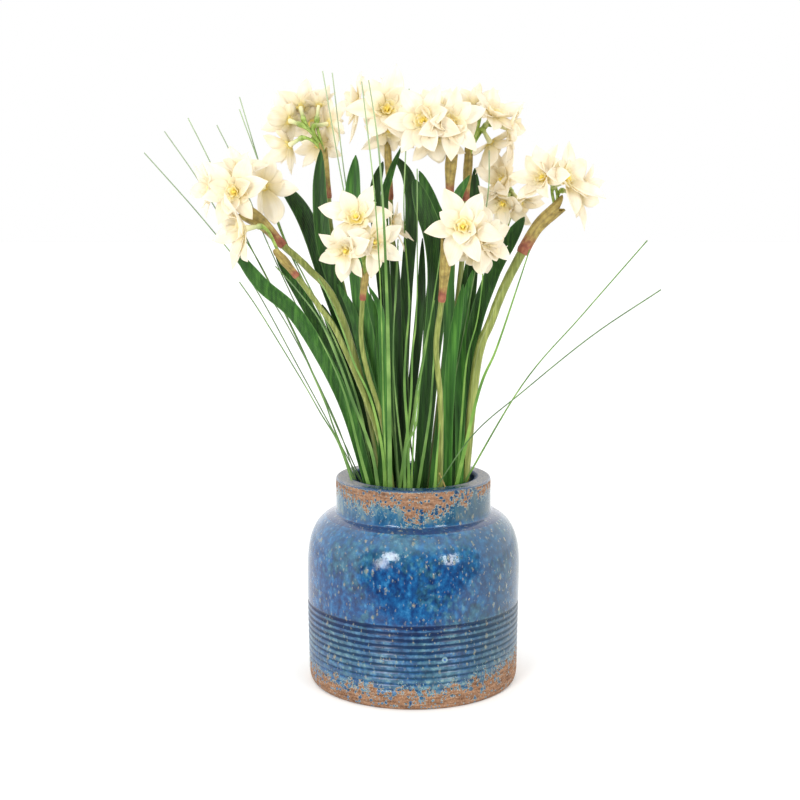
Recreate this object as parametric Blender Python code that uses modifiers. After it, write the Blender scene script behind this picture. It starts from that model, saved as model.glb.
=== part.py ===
"""Double paperwhite narcissus in a glazed stoneware jar.

The jar stands on z = 0 with its axis on Z, and the viewer looks along +Y, so -Y is the front.
It is filled with potting mix under a mat of moss. The flower stems go through the moss into the
mix, and the strap leaves and grass blades go into the moss, each in a socket of its own. Every
flower stem ends in a papery sheath, and every sheath in an umbel: short stalks with one floret
each, which grow from it as one piece.

All sizes are in millimetres until a mesh or a curve is made, which is in metres.
"""

import math

import bmesh
import bpy
from mathutils import Matrix, Vector

MM = 0.001
GAP = 0.3
SHARP_ANGLE = 35

# The jar: collar, shoulder, straight body with turned grooves, and a flat base.
JAR_HEIGHT = 135.5
COLLAR_RADIUS = 51.2
COLLAR_FOOT = 112.0
RIM_ROUND = 2.2
FILLET_WIDTH = 0.7
FILLET_HEIGHT = 2.5
BODY_RADIUS = 70.0
SHOULDER_WIDTH = 28.2
SHOULDER_HEIGHT = 38.4
SHOULDER_START = 74.3
SHOULDER_POWER = 2.78
SHOULDER_STEPS = 9
GROOVES = 12
TOP_GROOVE = 53.0
GROOVE_SPACING = 4.03
GROOVE_DEPTH = 0.8
BASE_ROUND_WIDTH = 2.4
BASE_ROUND_HEIGHT = 7.0
BODY_TAPER = 0.01
JAR_STEPS = 32
OUTER_ARC_POINTS = 4
INNER_ARC_POINTS = 3

# The inside of the jar.
MOUTH_RADIUS = 40.5
WALL = 9.0
FLOOR = 10.0
INNER_SHOULDER_TOP = 108.0
INNER_ROUND = 8.0

# The filling.
MIX_TOP = 108.0
MOSS_TOP = 126.0
MOSS_BUMP = 1.6
MOSS_SIDES = 24
STEM_DEPTH = 36.0
LEAF_DEPTH = 15.0
GRASS_DEPTH = 12.0
SOCKET_RISE = 12.0

# Stems, sheaths and umbels. The sheath's shape is its radius along it, in stem radii. A stem and
# its sheath are both straight for the joint's length.
SPAN_STEPS = 2
ROUND_BEVEL = 2
JOINT_LENGTH = 2.5
SHEATH_SHAPE = (1.25, 1.40, 1.60, 1.85, 1.40)
HUB_RADIUS = 2.6
HUB_HEIGHT = 3.0
HUB_CAP = 2.0
PEDICEL_RADIUS = 1.2

# Florets. The throat and cup are shares of the floret's radius, and so is the valley between petals.
# The lift is how many degrees the petals of a half-shut floret stand up from those of a flat one.
PETALS = 6
FLORET_TUBE = 11.0
TUBE_RADIUS = 1.5
THROAT = 0.16
THROAT_DEPTH = 1.5
VALLEY = 0.5
PETAL_LIFT = 1.0
CUP = 0.34
CUP_LIP = 0.8
CUP_FOOT_HEIGHT = 1.6
CUP_HEIGHT = 6.0
SHUT_LIFT = 38

# Strap leaves and grass. The section is a flat hexagon: shares of the half width and half thickness.
STRAP_THICKNESS = 1.1
STRAP_SECTION = ((-1, 0), (-0.4, 1), (0.4, 1), (1, 0), (0.4, -1), (-0.4, -1))
FOOT_SHARE = 0.7
FULL_WIDTH_FROM = 0.4
TIP_FROM = 0.715
TIP_SHARE = 0.12
GRASS_RADIUS = 0.9
GRASS_TAPER = 0.65
GRASS_TAPER_POWER = 1.5

# Each flower: stem radius; route from the moss to the joint; route from there up the sheath;
# floret radius; florets as centre x, y, z, then where each faces: degrees round from the front,
# positive to the right, and degrees up; how far it has opened, from 0, a half-shut bell, to 1, flat;
# and its size.
FLOWERS = (
    (2.2, ((-19, 1, 126), (-33, -3, 196), (-50, -10, 250), (-67, -16, 272), (-82, -18, 286)),
     ((-95, -20, 300), (-106, -22, 307)), 19,
     ((-110, -36, 319, -8, 8, 0.65, 1.0), (-108, -22, 330, 10, 50, 0.55, 0.9),
      (-125, -26, 322, -65, 5, 0.4, 0.85), (-95, -10, 323, 140, 12, 0.8, 1.05))),
    (1.7, ((-17, -12, 126), (-24, -16, 169), (-47, -22, 228), (-60, -25, 249), (-73, -27, 267)),
     ((-84, -30, 281),), 17,
     ((-108, -38, 290, -60, -18, 0.32, 1.35),)),
    (1.6, ((-18, 14, 126), (-25, 18, 183), (-43, 24, 243), (-54, 30, 293), (-56, 32, 316)),
     ((-59, 32, 346),), 17,
     ((-84, 40, 367, -135, 15, 0.55, 1.0), (-75, 46, 376, -165, 45, 0.6, 0.95),
      (-63, 44, 377, 170, 60, 0.2, 0.7), (-54, 40, 365, 125, 8, 0.6, 0.95),
      (-82, 36, 351, -120, -25, 0.55, 1.0), (-64, 50, 352, 165, -20, 0.6, 0.95),
      (-68, 54, 366, -175, 25, 0.7, 1.0))),
    (1.6, ((-8, 12, 126), (-10, 14, 217), (-13, 15, 276), (-15, 14, 315)),
     ((-17, 13, 350),), 19,
     ((-17, 0, 371, 0, 18, 0.75, 1.15), (-35, 12, 376, -78, 8, 0.9, 1.0),
      (-9, 16, 375, 75, 25, 0.6, 0.9), (-16, 8, 360, 5, -45, 0.6, 0.95))),
    (2.0, ((11, -2, 126), (15, 0, 166), (21, 1, 218), (25, 1, 276), (23, 0, 316)),
     ((24, -2, 344),), 19,
     ((6, -18, 363, -18, 6, 0.75, 1.05), (22, -16, 362, 16, 4, 0.75, 1.05),
      (14, -2, 371, 0, 55, 0.6, 0.85), (13, -9, 354, -10, -40, 0.6, 0.9))),
    (1.8, ((20, 12, 126), (26, 14, 217), (32, 17, 276), (34, 18, 314)),
     ((36, 18, 343),), 18,
     ((51, 12, 369, 35, 40, 0.7, 0.95), (61, 18, 361, 80, -15, 0.7, 1.0),
      (39, 28, 374, -160, 30, 0.7, 0.95), (50, 22, 352, 130, -50, 0.5, 1.0))),
    (3.0, ((33, -5, 126), (41, -6, 210), (50, -6, 238), (58, -6, 259), (69, -6, 281)),
     ((79, -7, 298), (91, -8, 309)), 20,
     ((95, -16, 327, 50, 25, 0.75, 1.05), (81, -18, 328, -45, 20, 0.55, 0.95),
      (103, -4, 319, 110, -10, 0.6, 0.95))),
    (1.8, ((27, 14, 126), (37, 20, 203), (47, 25, 249), (52, 26, 275)),
     ((60, 24, 292),), 18,
     ((58, 22, 327, -35, 25, 0.65, 1.0), (59, 20, 313, -25, -30, 0.6, 1.0),
      (70, 26, 314, 50, -45, 0.4, 0.85))),
    (1.5, ((-13, -20, 126), (-20, -22, 174), (-29, -27, 206), (-33, -30, 228), (-32, -34, 253)),
     ((-30, -38, 269),), 19,
     ((-32, -46, 300, -5, 28, 0.85, 1.05), (-24, -54, 289, 25, -8, 0.75, 0.9),
      (-41, -54, 284, -28, -15, 0.75, 0.95), (-14, -24, 298, 80, 20, 0.4, 0.75))),
    (1.8, ((17, -22, 126), (17, -26, 185), (14, -31, 223), (17, -36, 252)),
     ((20, -42, 284),), 20,
     ((29, -56, 298, -5, 10, 0.85, 1.05), (42, -46, 292, 42, 2, 0.7, 0.9),
      (39, -41, 284, 15, -50, 0.6, 0.9))),
)

# Each strap leaf: greatest width; degrees that its face is turned from the front; route from the
# moss to the tip.
LEAVES = (
    (9.5, 10, ((-27, -13, 126), (-45, -16, 188), (-72, -19, 239), (-96, -21, 262), (-113, -22, 284))),
    (8, 0, ((-27, 3, 126), (-45, 1, 198), (-70, 0, 249), (-89, 0, 280))),
    (13, -10, ((-24, 19, 126), (-39, 18, 210), (-57, 17, 265), (-71, 16, 304), (-88, 14, 328))),
    (10, 5, ((-20, 8, 126), (-34, 8, 198), (-48, 9, 250), (-58, 10, 286), (-61, 12, 321), (-60, 12, 347))),
    (11, 0, ((-16, -6, 126), (-25, -5, 193), (-35, -2, 257), (-39, 0, 312), (-37, 0, 343))),
    (8, 20, ((-13, 22, 126), (-18, 24, 229), (-24, 27, 295), (-25, 28, 322), (-20, 29, 340))),
    (6, 30, ((-9, 3, 126), (-13, 5, 191), (-17, 6, 250), (-19, 5, 310), (-15, 2, 331), (-8, -2, 348))),
    (9, -20, ((-7, 26, 126), (-7, 28, 188), (-5, 31, 249), (-1, 35, 305), (-3, 38, 329), (-12, 40, 344))),
    (11, 15, ((5, 20, 126), (8, 22, 182), (15, 25, 229), (18, 28, 289), (12, 30, 312), (4, 31, 334))),
    (13, 0, ((4, -7, 126), (10, -6, 199), (15, -6, 258), (13, -7, 289), (6, -7, 311), (0, -7, 328))),
    (8, -10, ((27, 22, 126), (32, 25, 196), (39, 31, 262), (41, 36, 315), (41, 38, 336))),
    (8, -30, ((12, -12, 126), (22, -12, 219), (22, -12, 277), (26, -12, 312), (35, -12, 330))),
    (10, 10, ((31, 4, 126), (38, 6, 221), (50, 8, 264), (62, 10, 288), (72, 10, 304))),
    (8, 20, ((-21, -19, 126), (-19, -17, 181), (-21, -18, 227), (-30, -20, 258))),
    (7.5, -10, ((22, -16, 126), (22, -18, 181), (25, -19, 223), (31, -21, 262))),
)

# Each grass blade: route from the moss to the tip.
GRASS = (
    ((-32, -1, 126), (-73, 1, 203), (-106, 6, 263), (-136, 9, 302), (-174, 12, 345)),
    ((-31, -8, 126), (-58, -9, 188), (-79, -9, 236), (-105, -7, 287), (-130, -4, 340), (-143, -2, 366)),
    ((-29, 13, 126), (-52, 20, 190), (-76, 26, 241), (-98, 30, 289), (-118, 34, 339), (-130, 36, 364)),
    ((-26, 9, 126), (-45, 8, 198), (-71, 6, 260), (-82, 5, 287), (-92, 5, 310)),
    ((-9, -14, 126), (-16, -12, 187), (-30, -13, 251), (-43, -13, 314), (-57, -12, 394)),
    ((-8, -6, 126), (-17, 1, 185), (-27, 4, 250), (-42, 7, 314), (-52, 8, 395)),
    ((-15, -32, 126), (-16, -44, 219), (-17, -60, 266), (-19, -68, 314), (-22, -70, 350), (-27, -70, 383)),
    ((-17, -26, 126), (-19, -31, 178), (-20, -46, 236), (-21, -62, 272), (-24, -70, 320), (-31, -71, 382)),
    ((29, -14, 126), (68, -30, 199), (104, -38, 244), (142, -44, 290)),
    ((9, -34, 126), (36, -44, 169), (67, -50, 198), (108, -56, 233), (148, -60, 261)),
    ((26, -22, 126), (41, -26, 194), (52, -27, 222), (66, -27, 265), (72, -27, 284)),
    ((-2, -27, 126), (1, -27, 180), (8, -26, 225), (14, -26, 265)),
)


def clear_scene():
    for old in list(bpy.data.objects):
        bpy.data.objects.remove(old, do_unlink=True)


def collection(name):
    made = bpy.data.collections.new(name)
    bpy.context.scene.collection.children.link(made)
    return made


def linear(value):
    """One 0-255 colour channel as the linear light that a shader takes."""
    part = value / 255
    return part / 12.92 if part <= 0.04045 else ((part + 0.055) / 1.055) ** 2.4


def paint(obj, rgb, roughness):
    made = bpy.data.materials.new(obj.name + "_finish")
    made.use_nodes = True
    shader = made.node_tree.nodes["Principled BSDF"]
    shader.inputs["Base Color"].default_value = (*(linear(c) for c in rgb), 1.0)
    shader.inputs["Roughness"].default_value = roughness
    shader.inputs["Metallic"].default_value = 0.0
    obj.data.materials.append(made)


def mesh_object(name, bm, group):
    """An object from a bmesh in millimetres."""
    bmesh.ops.scale(bm, vec=(MM, MM, MM), verts=bm.verts)
    bmesh.ops.triangulate(bm, faces=bm.faces)
    bmesh.ops.recalc_face_normals(bm, faces=bm.faces)
    mesh = bpy.data.meshes.new(name)
    bm.to_mesh(mesh)
    bm.free()
    mesh.shade_smooth()
    mesh.set_sharp_from_angle(angle=math.radians(SHARP_ANGLE))
    obj = bpy.data.objects.new(name, mesh)
    group.objects.link(obj)
    return obj


def helper(obj):
    """Keeps a cutter or a joined piece out of the model."""
    obj.hide_render = True
    obj.display_type = "WIRE"
    return obj


def combine(obj, other, operation):
    step = obj.modifiers.new(other.name, "BOOLEAN")
    step.operation = operation
    step.object = other


def turned(name, outline, steps):
    """A solid of revolution: the outline's radius and height pairs, turned about Z."""
    bm = bmesh.new()
    points = [bm.verts.new((r * MM, 0, z * MM)) for r, z in outline]
    for a, b in zip(points, points[1:]):
        bm.edges.new((a, b))
    mesh = bpy.data.meshes.new(name)
    bm.to_mesh(mesh)
    bm.free()
    obj = bpy.data.objects.new(name, mesh)
    parts.objects.link(obj)
    screw = obj.modifiers.new("turn", "SCREW")
    screw.steps = steps
    screw.render_steps = steps
    screw.use_merge_vertices = True
    screw.merge_threshold = 0.00005
    screw.use_smooth_shade = True
    return obj


def arc(centre, radii, start, end, count):
    """Points of an ellipse's arc from one angle to another, in degrees from +X."""
    turns = [math.radians(start + (end - start) * i / (count - 1)) for i in range(count)]
    return [(centre[0] + radii[0] * math.cos(t), centre[1] + radii[1] * math.sin(t)) for t in turns]


def smooth_spans(points):
    """Samples of a smooth curve through the points, as one list for each span."""
    p = [Vector(v) for v in points]
    p = [2 * p[0] - p[1], *p, 2 * p[-1] - p[-2]]
    spans = []
    for a, b, c, d in zip(p, p[1:], p[2:], p[3:]):
        span = []
        for i in range(SPAN_STEPS + 1):
            t = i / SPAN_STEPS
            span.append(0.5 * (2 * b + (c - a) * t + (2 * a - 5 * b + 4 * c - d) * t * t
                               + (3 * b - a - 3 * c + d) * t ** 3))
        spans.append(span)
    return spans


def joined(spans):
    """One list of points from spans that share their ends."""
    points = list(spans[0])
    for span in spans[1:]:
        points += span[1:]
    return points


def planted(points, depth):
    """The route with a straight stretch added below the moss surface."""
    down = (points[0] - points[1]).normalized()
    return [points[0] + down * depth, *points]


def tube(name, points, radii, resolution, group):
    curve = bpy.data.curves.new(name, "CURVE")
    curve.dimensions = "3D"
    curve.bevel_depth = MM
    curve.bevel_resolution = resolution
    curve.use_fill_caps = True
    spline = curve.splines.new("POLY")
    spline.points.add(len(points) - 1)
    for target, point, radius in zip(spline.points, points, radii):
        target.co = (*(point * MM), 1.0)
        target.radius = radius
    obj = bpy.data.objects.new(name, curve)
    group.objects.link(obj)
    return obj


def frame_along(points, index, turn):
    """Along, across and face directions of a strap at one of its points."""
    after = points[min(index + 1, len(points) - 1)]
    before = points[max(index - 1, 0)]
    along = (after - before).normalized()
    facing = Vector((math.sin(turn), -math.cos(turn), 0))
    across = facing.cross(along).normalized()
    return along, across, along.cross(across).normalized()


def bridge(bm, rings):
    """Side faces between rings of equal length, and a cap on each end."""
    for low, high in zip(rings, rings[1:]):
        for i in range(len(low)):
            j = (i + 1) % len(low)
            bm.faces.new((low[i], low[j], high[j], high[i]))
    bm.faces.new(rings[0][::-1])
    bm.faces.new(rings[-1])


def strap_width(along_share, width):
    """A leaf's width: narrower at the foot, full by the middle, drawn in to a blunt tip."""
    foot = FOOT_SHARE + (1 - FOOT_SHARE) * min(1.0, along_share / FULL_WIDTH_FROM)
    past = max(0.0, (along_share - TIP_FROM) / (1 - TIP_FROM))
    return width * foot * max(math.sqrt(1 - past ** 2), TIP_SHARE)


def strap(name, points, width, turn, group):
    """A flat six-sided strap lofted along the points."""
    bm = bmesh.new()
    rings = []
    half_thick = STRAP_THICKNESS / 2
    for i, point in enumerate(points):
        _, across, face = frame_along(points, i, turn)
        half = strap_width(i / (len(points) - 1), width) / 2
        ring = []
        for side, out in STRAP_SECTION:
            ring.append(bm.verts.new(point + across * half * side + face * half_thick * out))
        rings.append(ring)
    bridge(bm, rings)
    return mesh_object(name, bm, group)


def socket(name, points, size, sides, turn):
    """A straight cutter round a piece's buried end, with a gap all round.

    The size is a radius for a round piece, and a width and thickness for one with no sides.
    """
    along, across, face = frame_along(points[:2], 0, turn)
    matrix = Matrix((across, face, along)).transposed()
    bm = bmesh.new()
    length = (points[1] - points[0]).length + SOCKET_RISE
    if sides:
        reach = (size[0] + GAP) / math.cos(math.pi / sides)
        bmesh.ops.create_cone(bm, cap_ends=True, segments=sides, radius1=reach, radius2=reach,
                              depth=length)
    else:
        bmesh.ops.create_cube(bm, size=1)
        bmesh.ops.scale(bm, vec=(size[0] + 2 * GAP, size[1] + 2 * GAP, length), verts=bm.verts)
    bmesh.ops.translate(bm, vec=(0, 0, length / 2 - GAP), verts=bm.verts)
    bmesh.ops.rotate(bm, cent=(0, 0, 0), matrix=matrix, verts=bm.verts)
    bmesh.ops.translate(bm, vec=points[0], verts=bm.verts)
    return helper(mesh_object(name + "_socket", bm, cutters))


def shoulder_height(radius):
    """Height of the jar's outer shoulder at a radius."""
    share = max(0.0, radius - BODY_RADIUS + SHOULDER_WIDTH) / SHOULDER_WIDTH
    return SHOULDER_START + SHOULDER_HEIGHT * (1 - share ** SHOULDER_POWER) ** (1 / SHOULDER_POWER)


def jar_outside():
    """The outer outline, from the rim's top down to the centre of the base."""
    rim = (COLLAR_RADIUS - RIM_ROUND, JAR_HEIGHT - RIM_ROUND)
    outline = arc(rim, (RIM_ROUND, RIM_ROUND), 90, 0, OUTER_ARC_POINTS)
    fillet = (COLLAR_RADIUS + FILLET_WIDTH, COLLAR_FOOT + FILLET_HEIGHT)
    outline += arc(fillet, (FILLET_WIDTH, FILLET_HEIGHT), 180, 270, INNER_ARC_POINTS)
    for i in range(1, SHOULDER_STEPS + 1):
        share = math.sin(i / SHOULDER_STEPS * math.pi / 2)
        radius = COLLAR_RADIUS + (BODY_RADIUS - COLLAR_RADIUS) * share
        outline.append((radius, shoulder_height(min(radius, BODY_RADIUS))))
    for i in range(GROOVES):
        height = TOP_GROOVE - i * GROOVE_SPACING
        ridge = BODY_RADIUS - BODY_TAPER * (SHOULDER_START - height)
        if height > BASE_ROUND_HEIGHT + GROOVE_SPACING / 2:
            outline.append((ridge, height + GROOVE_SPACING / 2))
            outline.append((ridge - GROOVE_DEPTH, height))
    foot = BODY_RADIUS - BODY_TAPER * SHOULDER_START
    centre = (foot - BASE_ROUND_WIDTH, BASE_ROUND_HEIGHT)
    outline += arc(centre, (BASE_ROUND_WIDTH, BASE_ROUND_HEIGHT), 0, -90, OUTER_ARC_POINTS)
    outline.append((0, 0))
    return outline


def jar_inside(clearance):
    """The inner outline, from the centre of the floor up to the mouth, drawn in by a clearance."""
    body = BODY_RADIUS - WALL - clearance
    floor = FLOOR + clearance
    outline = [(0, floor)]
    corner = (body - INNER_ROUND, floor + INNER_ROUND)
    outline += arc(corner, (INNER_ROUND, INNER_ROUND), -90, 0, INNER_ARC_POINTS)
    mouth = MOUTH_RADIUS - clearance
    shoulder = (body - mouth, INNER_SHOULDER_TOP - clearance - SHOULDER_START)
    outline += arc((mouth, SHOULDER_START), shoulder, 0, 90, OUTER_ARC_POINTS)
    return outline


def make_jar():
    lip = (MOUTH_RADIUS + RIM_ROUND, JAR_HEIGHT - RIM_ROUND)
    inside = jar_inside(0) + arc(lip, (RIM_ROUND, RIM_ROUND), 180, 90, INNER_ARC_POINTS)
    jar = turned("jar", inside + jar_outside(), JAR_STEPS)
    paint(jar, (38, 98, 168), 0.2)


def make_potting_mix():
    """The fill, which takes the shape of the inside of the jar."""
    outline = [(0, MIX_TOP), (MOUTH_RADIUS - GAP, MIX_TOP), *reversed(jar_inside(GAP))]
    mix = turned("potting_mix", outline, JAR_STEPS)
    paint(mix, (58, 44, 34), 0.95)
    return mix


def make_moss():
    """A mat with an uneven top, lofted from rings of points."""
    bm = bmesh.new()
    rings = []
    for share, low in ((0.5, True), (1.0, True), (1.0, False), (0.62, False), (0.28, False)):
        ring = []
        for i in range(MOSS_SIDES):
            angle = 2 * math.pi * i / MOSS_SIDES
            bump = MOSS_BUMP * math.sin(3 * angle + 5 * share) * math.cos(2 * angle - 3 * share)
            height = MIX_TOP + GAP if low else MOSS_TOP + bump
            reach = (MOUTH_RADIUS - GAP) * share
            ring.append(bm.verts.new((reach * math.cos(angle), reach * math.sin(angle), height)))
        rings.append(ring)
    bridge(bm, rings)
    moss = mesh_object("moss_mat", bm, parts)
    paint(moss, (44, 66, 30), 0.95)
    return moss


def floret(name, centre, toward, radius, opened, group):
    """A six-petalled flower on its tube, with a shallow cup in front: rings lofted along its axis."""
    bm = bmesh.new()
    lift = math.radians(SHUT_LIFT * (1 - opened))
    sides = 2 * PETALS
    turn = toward.to_track_quat("Z", "Y").to_matrix()
    rings = []
    throat = THROAT * radius
    cup = CUP * radius
    lip = CUP_LIP * cup
    outline = ((TUBE_RADIUS, TUBE_RADIUS, -FLORET_TUBE), (throat, throat, -THROAT_DEPTH),
               (radius, VALLEY * radius, PETAL_LIFT), (cup, cup, CUP_FOOT_HEIGHT), (lip, lip, CUP_HEIGHT))
    for tip, valley, height in outline:
        ring = []
        for i in range(sides):
            angle = math.pi * i / PETALS
            reach = valley if i % 2 else tip
            spread = reach * math.cos(lift)
            place = Vector((spread * math.cos(angle), spread * math.sin(angle), height))
            place.z += reach * math.sin(lift)
            ring.append(bm.verts.new(centre + turn @ place))
        rings.append(ring)
    bridge(bm, rings)
    return mesh_object(name, bm, group)


def rod(name, start, end, radius, sides):
    """A straight round bar between two points."""
    along = end - start
    bm = bmesh.new()
    bmesh.ops.create_cone(bm, cap_ends=True, segments=sides, radius1=radius, radius2=radius,
                          depth=along.length)
    turn = along.to_track_quat("Z", "Y").to_matrix()
    bmesh.ops.rotate(bm, cent=(0, 0, 0), matrix=turn, verts=bm.verts)
    bmesh.ops.translate(bm, vec=(start + end) / 2, verts=bm.verts)
    return mesh_object(name, bm, cutters)


def make_umbel(name, sheath_end, along, radius, florets):
    """The stalks and florets that stand on a sheath, joined in one solid."""
    foot = sheath_end + along * GAP
    hub = foot + along * HUB_HEIGHT
    umbel = rod(name, foot, hub + along * HUB_CAP, HUB_RADIUS, 8)
    cutters.objects.unlink(umbel)
    parts.objects.link(umbel)
    for i, (x, y, z, around, up, opened, size) in enumerate(florets):
        level = Vector((math.sin(math.radians(around)), -math.cos(math.radians(around)), 0))
        toward = level * math.cos(math.radians(up)) + Vector((0, 0, math.sin(math.radians(up))))
        centre = Vector((x, y, z))
        flower = helper(floret(f"{name}_floret_{i + 1}", centre, toward, radius * size, opened, cutters))
        back = centre - toward * (FLORET_TUBE - 1)
        pedicel = helper(rod(f"{name}_pedicel_{i + 1}", hub, back, PEDICEL_RADIUS, 6))
        combine(umbel, pedicel, "UNION")
        combine(umbel, flower, "UNION")
    paint(umbel, (250, 238, 214), 0.6)


def make_flower(index, stem_radius, stem_route, sheath_route, radius, florets):
    """A stem, its sheath and its umbel, and the cutter for the stem's socket."""
    name = f"{index + 1:02d}"
    spans = smooth_spans(stem_route + sheath_route)
    cut = len(stem_route) - 1
    joint = spans[cut][0]
    along = (spans[cut][1] - spans[cut - 1][-2]).normalized()
    stem_points = planted(joined(spans[:cut]), STEM_DEPTH)
    stem_points[-1:] = [joint - along * JOINT_LENGTH, joint]
    stem_radii = [stem_radius] * len(stem_points)
    stem = tube("flower_stem_" + name, stem_points, stem_radii, ROUND_BEVEL, parts)
    paint(stem, (150, 165, 75), 0.55)
    sheath = [joint + along * GAP, joint + along * (JOINT_LENGTH + GAP), *joined(spans[cut:])[1:]]
    places = [i / (len(sheath) - 1) * (len(SHEATH_SHAPE) - 1) for i in range(len(sheath))]
    radii = [stem_radius * SHEATH_SHAPE[round(place)] for place in places]
    spathe = tube("spathe_" + name, sheath, radii, ROUND_BEVEL, parts)
    paint(spathe, (150, 132, 66), 0.75)
    make_umbel("umbel_" + name, sheath[-1], (sheath[-1] - sheath[-2]).normalized(), radius, florets)
    return socket(stem.name, stem_points, (stem_radius,), 8, 0)


def make_leaf(index, width, degrees, route):
    """A strap leaf, and the cutter for its socket."""
    turn = math.radians(degrees)
    points = planted(joined(smooth_spans(route)), LEAF_DEPTH)
    leaf = strap(f"leaf_{index + 1:02d}", points, width, turn, parts)
    paint(leaf, (42, 92, 36), 0.5)
    foot = strap_width(1 / (len(points) - 1), width)
    return socket(leaf.name, points, (foot, STRAP_THICKNESS), 0, turn)


def make_blade(index, route):
    """A grass blade, thinner towards its tip, and the cutter for its socket."""
    points = planted(joined(smooth_spans(route)), GRASS_DEPTH)
    last = len(points) - 1
    radii = [GRASS_RADIUS * (1 - GRASS_TAPER * (i / last) ** GRASS_TAPER_POWER) for i in range(last + 1)]
    blade = tube(f"grass_{index + 1:02d}", points, radii, 0, parts)
    paint(blade, (122, 170, 80), 0.5)
    return socket(blade.name, points, (GRASS_RADIUS,), 6, 0)


clear_scene()
parts = collection("paperwhite_narcissus")
cutters = collection("cutters")
make_jar()
potting_mix = make_potting_mix()
moss_mat = make_moss()
stem_sockets = [make_flower(i, *row) for i, row in enumerate(FLOWERS)]
leaf_sockets = [make_leaf(i, *row) for i, row in enumerate(LEAVES)]
grass_sockets = [make_blade(i, row) for i, row in enumerate(GRASS)]
for cutter in stem_sockets:
    combine(potting_mix, cutter, "DIFFERENCE")
for cutter in stem_sockets + leaf_sockets + grass_sockets:
    combine(moss_mat, cutter, "DIFFERENCE")
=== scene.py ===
"""Looks of a double paperwhite narcissus in a glazed stoneware jar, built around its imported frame.

The viewer looks along +Y. The object's sizes are in millimetres, which piece() turns into metres.
The camera, the floor, the lights and the depth of bumps are in metres.
"""
from functools import partial
from math import ceil, cos, pi, radians, sin, sqrt

import bmesh
import bpy
import numpy as np
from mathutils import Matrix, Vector


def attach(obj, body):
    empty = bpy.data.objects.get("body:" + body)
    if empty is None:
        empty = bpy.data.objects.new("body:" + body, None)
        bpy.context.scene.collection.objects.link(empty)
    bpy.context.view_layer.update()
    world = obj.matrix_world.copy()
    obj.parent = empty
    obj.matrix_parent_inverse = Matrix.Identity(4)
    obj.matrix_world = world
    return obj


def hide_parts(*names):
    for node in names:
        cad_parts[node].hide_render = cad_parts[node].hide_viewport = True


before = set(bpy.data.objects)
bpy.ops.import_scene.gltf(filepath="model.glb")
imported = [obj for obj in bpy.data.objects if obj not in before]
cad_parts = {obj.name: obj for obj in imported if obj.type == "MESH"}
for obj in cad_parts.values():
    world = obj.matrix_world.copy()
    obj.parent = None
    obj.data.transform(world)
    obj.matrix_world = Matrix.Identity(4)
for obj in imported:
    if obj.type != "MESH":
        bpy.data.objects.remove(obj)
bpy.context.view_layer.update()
scene = bpy.context.scene


# Camera, floor and light. The camera stands 85 cm before the jar, level with the flowers, and looks
# down by 8 degrees. The floor is a pale matt board. The studio is white and soft, but dim behind the
# camera, where the glaze mirrors it, and three small soft boxes stand beside the camera.
CAMERA_PLACE = (-0.0088, -0.853, 0.308)
CAMERA_TILT = 81.82
CAMERA_LENS = 59.3
FLOOR_SIZE = 12.0
FLOOR_FRONT = -0.22
FLOOR_DROP = 0.0002
# How bright the studio is: mirrored in the glaze, behind the camera, at the sides and overhead, and
# as soft light on matt things, from the camera's side and from behind the jar.
STUDIO_DIM = 0.2
STUDIO_WHITE = 1.7
STUDIO_CEILING = 1.9
STUDIO_FILL = 0.86
STUDIO_BACK = 1.35
# Where those change, in parts of a ray's direction: how far the dim part is turned to one side, dim
# to side, walls to ceiling, and front to back.
SIDE_SKEW = -0.13
SIDE_EDGE = (-0.41, -0.36)
CEILING_EDGE = (0.36, 0.75)
FRONT_TO_BACK = (-0.8, 0.0)
# Each soft box: its place, its side, and its power in watts.
SOFT_BOXES = (
    ((-0.56, -1.13, 0.60), 0.36, 7.0),
    ((-0.75, -1.13, 0.27), 0.28, 3.0),
    ((0.83, -1.02, 0.45), 0.38, 6.0),
)
SOFT_BOX_AIM = (0.0, 0.0, 0.15)


def linear(code):
    """A colour for a shader from an sRGB hex code."""
    parts = [int(code[i:i + 2], 16) / 255 for i in (1, 3, 5)]
    return (*(p / 12.92 if p <= 0.04045 else ((p + 0.055) / 1.055) ** 2.4 for p in parts), 1.0)


def add_node(tree, kind, *inputs, stops=(), **settings):
    """Adds a shader node, as in add("Math.ADD", a, b). Inputs follow in the node's own order, or named
    in one dictionary; each is a value, a colour code, a socket, or a node whose first output is meant.
    """
    kind, _, operation = kind.partition(".")
    made = tree.nodes.new("ShaderNode" + kind)
    if operation:
        made.operation = operation
    for key, value in settings.items():
        setattr(made, key, value)
    named = inputs[0] if inputs and isinstance(inputs[0], dict) else dict(enumerate(inputs))
    for key, value in named.items():
        if isinstance(value, bpy.types.Node):
            value = value.outputs[0]
        if isinstance(value, bpy.types.NodeSocket):
            tree.links.new(value, made.inputs[key])
        else:
            made.inputs[key].default_value = linear(value) if isinstance(value, str) else value
    for number, (position, code) in enumerate(stops):
        elements = made.color_ramp.elements
        stop = elements[number] if number < 2 else elements.new(position)
        stop.position = position
        stop.color = linear(code)
    return made


def feed(node, name, source):
    """Links a node's first output to the named input of another."""
    node.id_data.links.new(source.outputs[0], node.inputs[name])


def finish(name, roughness):
    """A new material, the function that adds nodes to it, and its Principled shader."""
    made = bpy.data.materials.new(name)
    made.use_nodes = True
    shader = made.node_tree.nodes["Principled BSDF"]
    shader.inputs["Roughness"].default_value = roughness
    return made, partial(add_node, made.node_tree), shader


camera = bpy.data.objects.new("camera", bpy.data.cameras.new("camera"))
camera.data.lens = CAMERA_LENS
camera.location = CAMERA_PLACE
camera.rotation_euler = (radians(CAMERA_TILT), 0, 0)
scene.collection.objects.link(camera)
scene.camera = camera
scene.view_settings.view_transform = "Standard"

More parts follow.
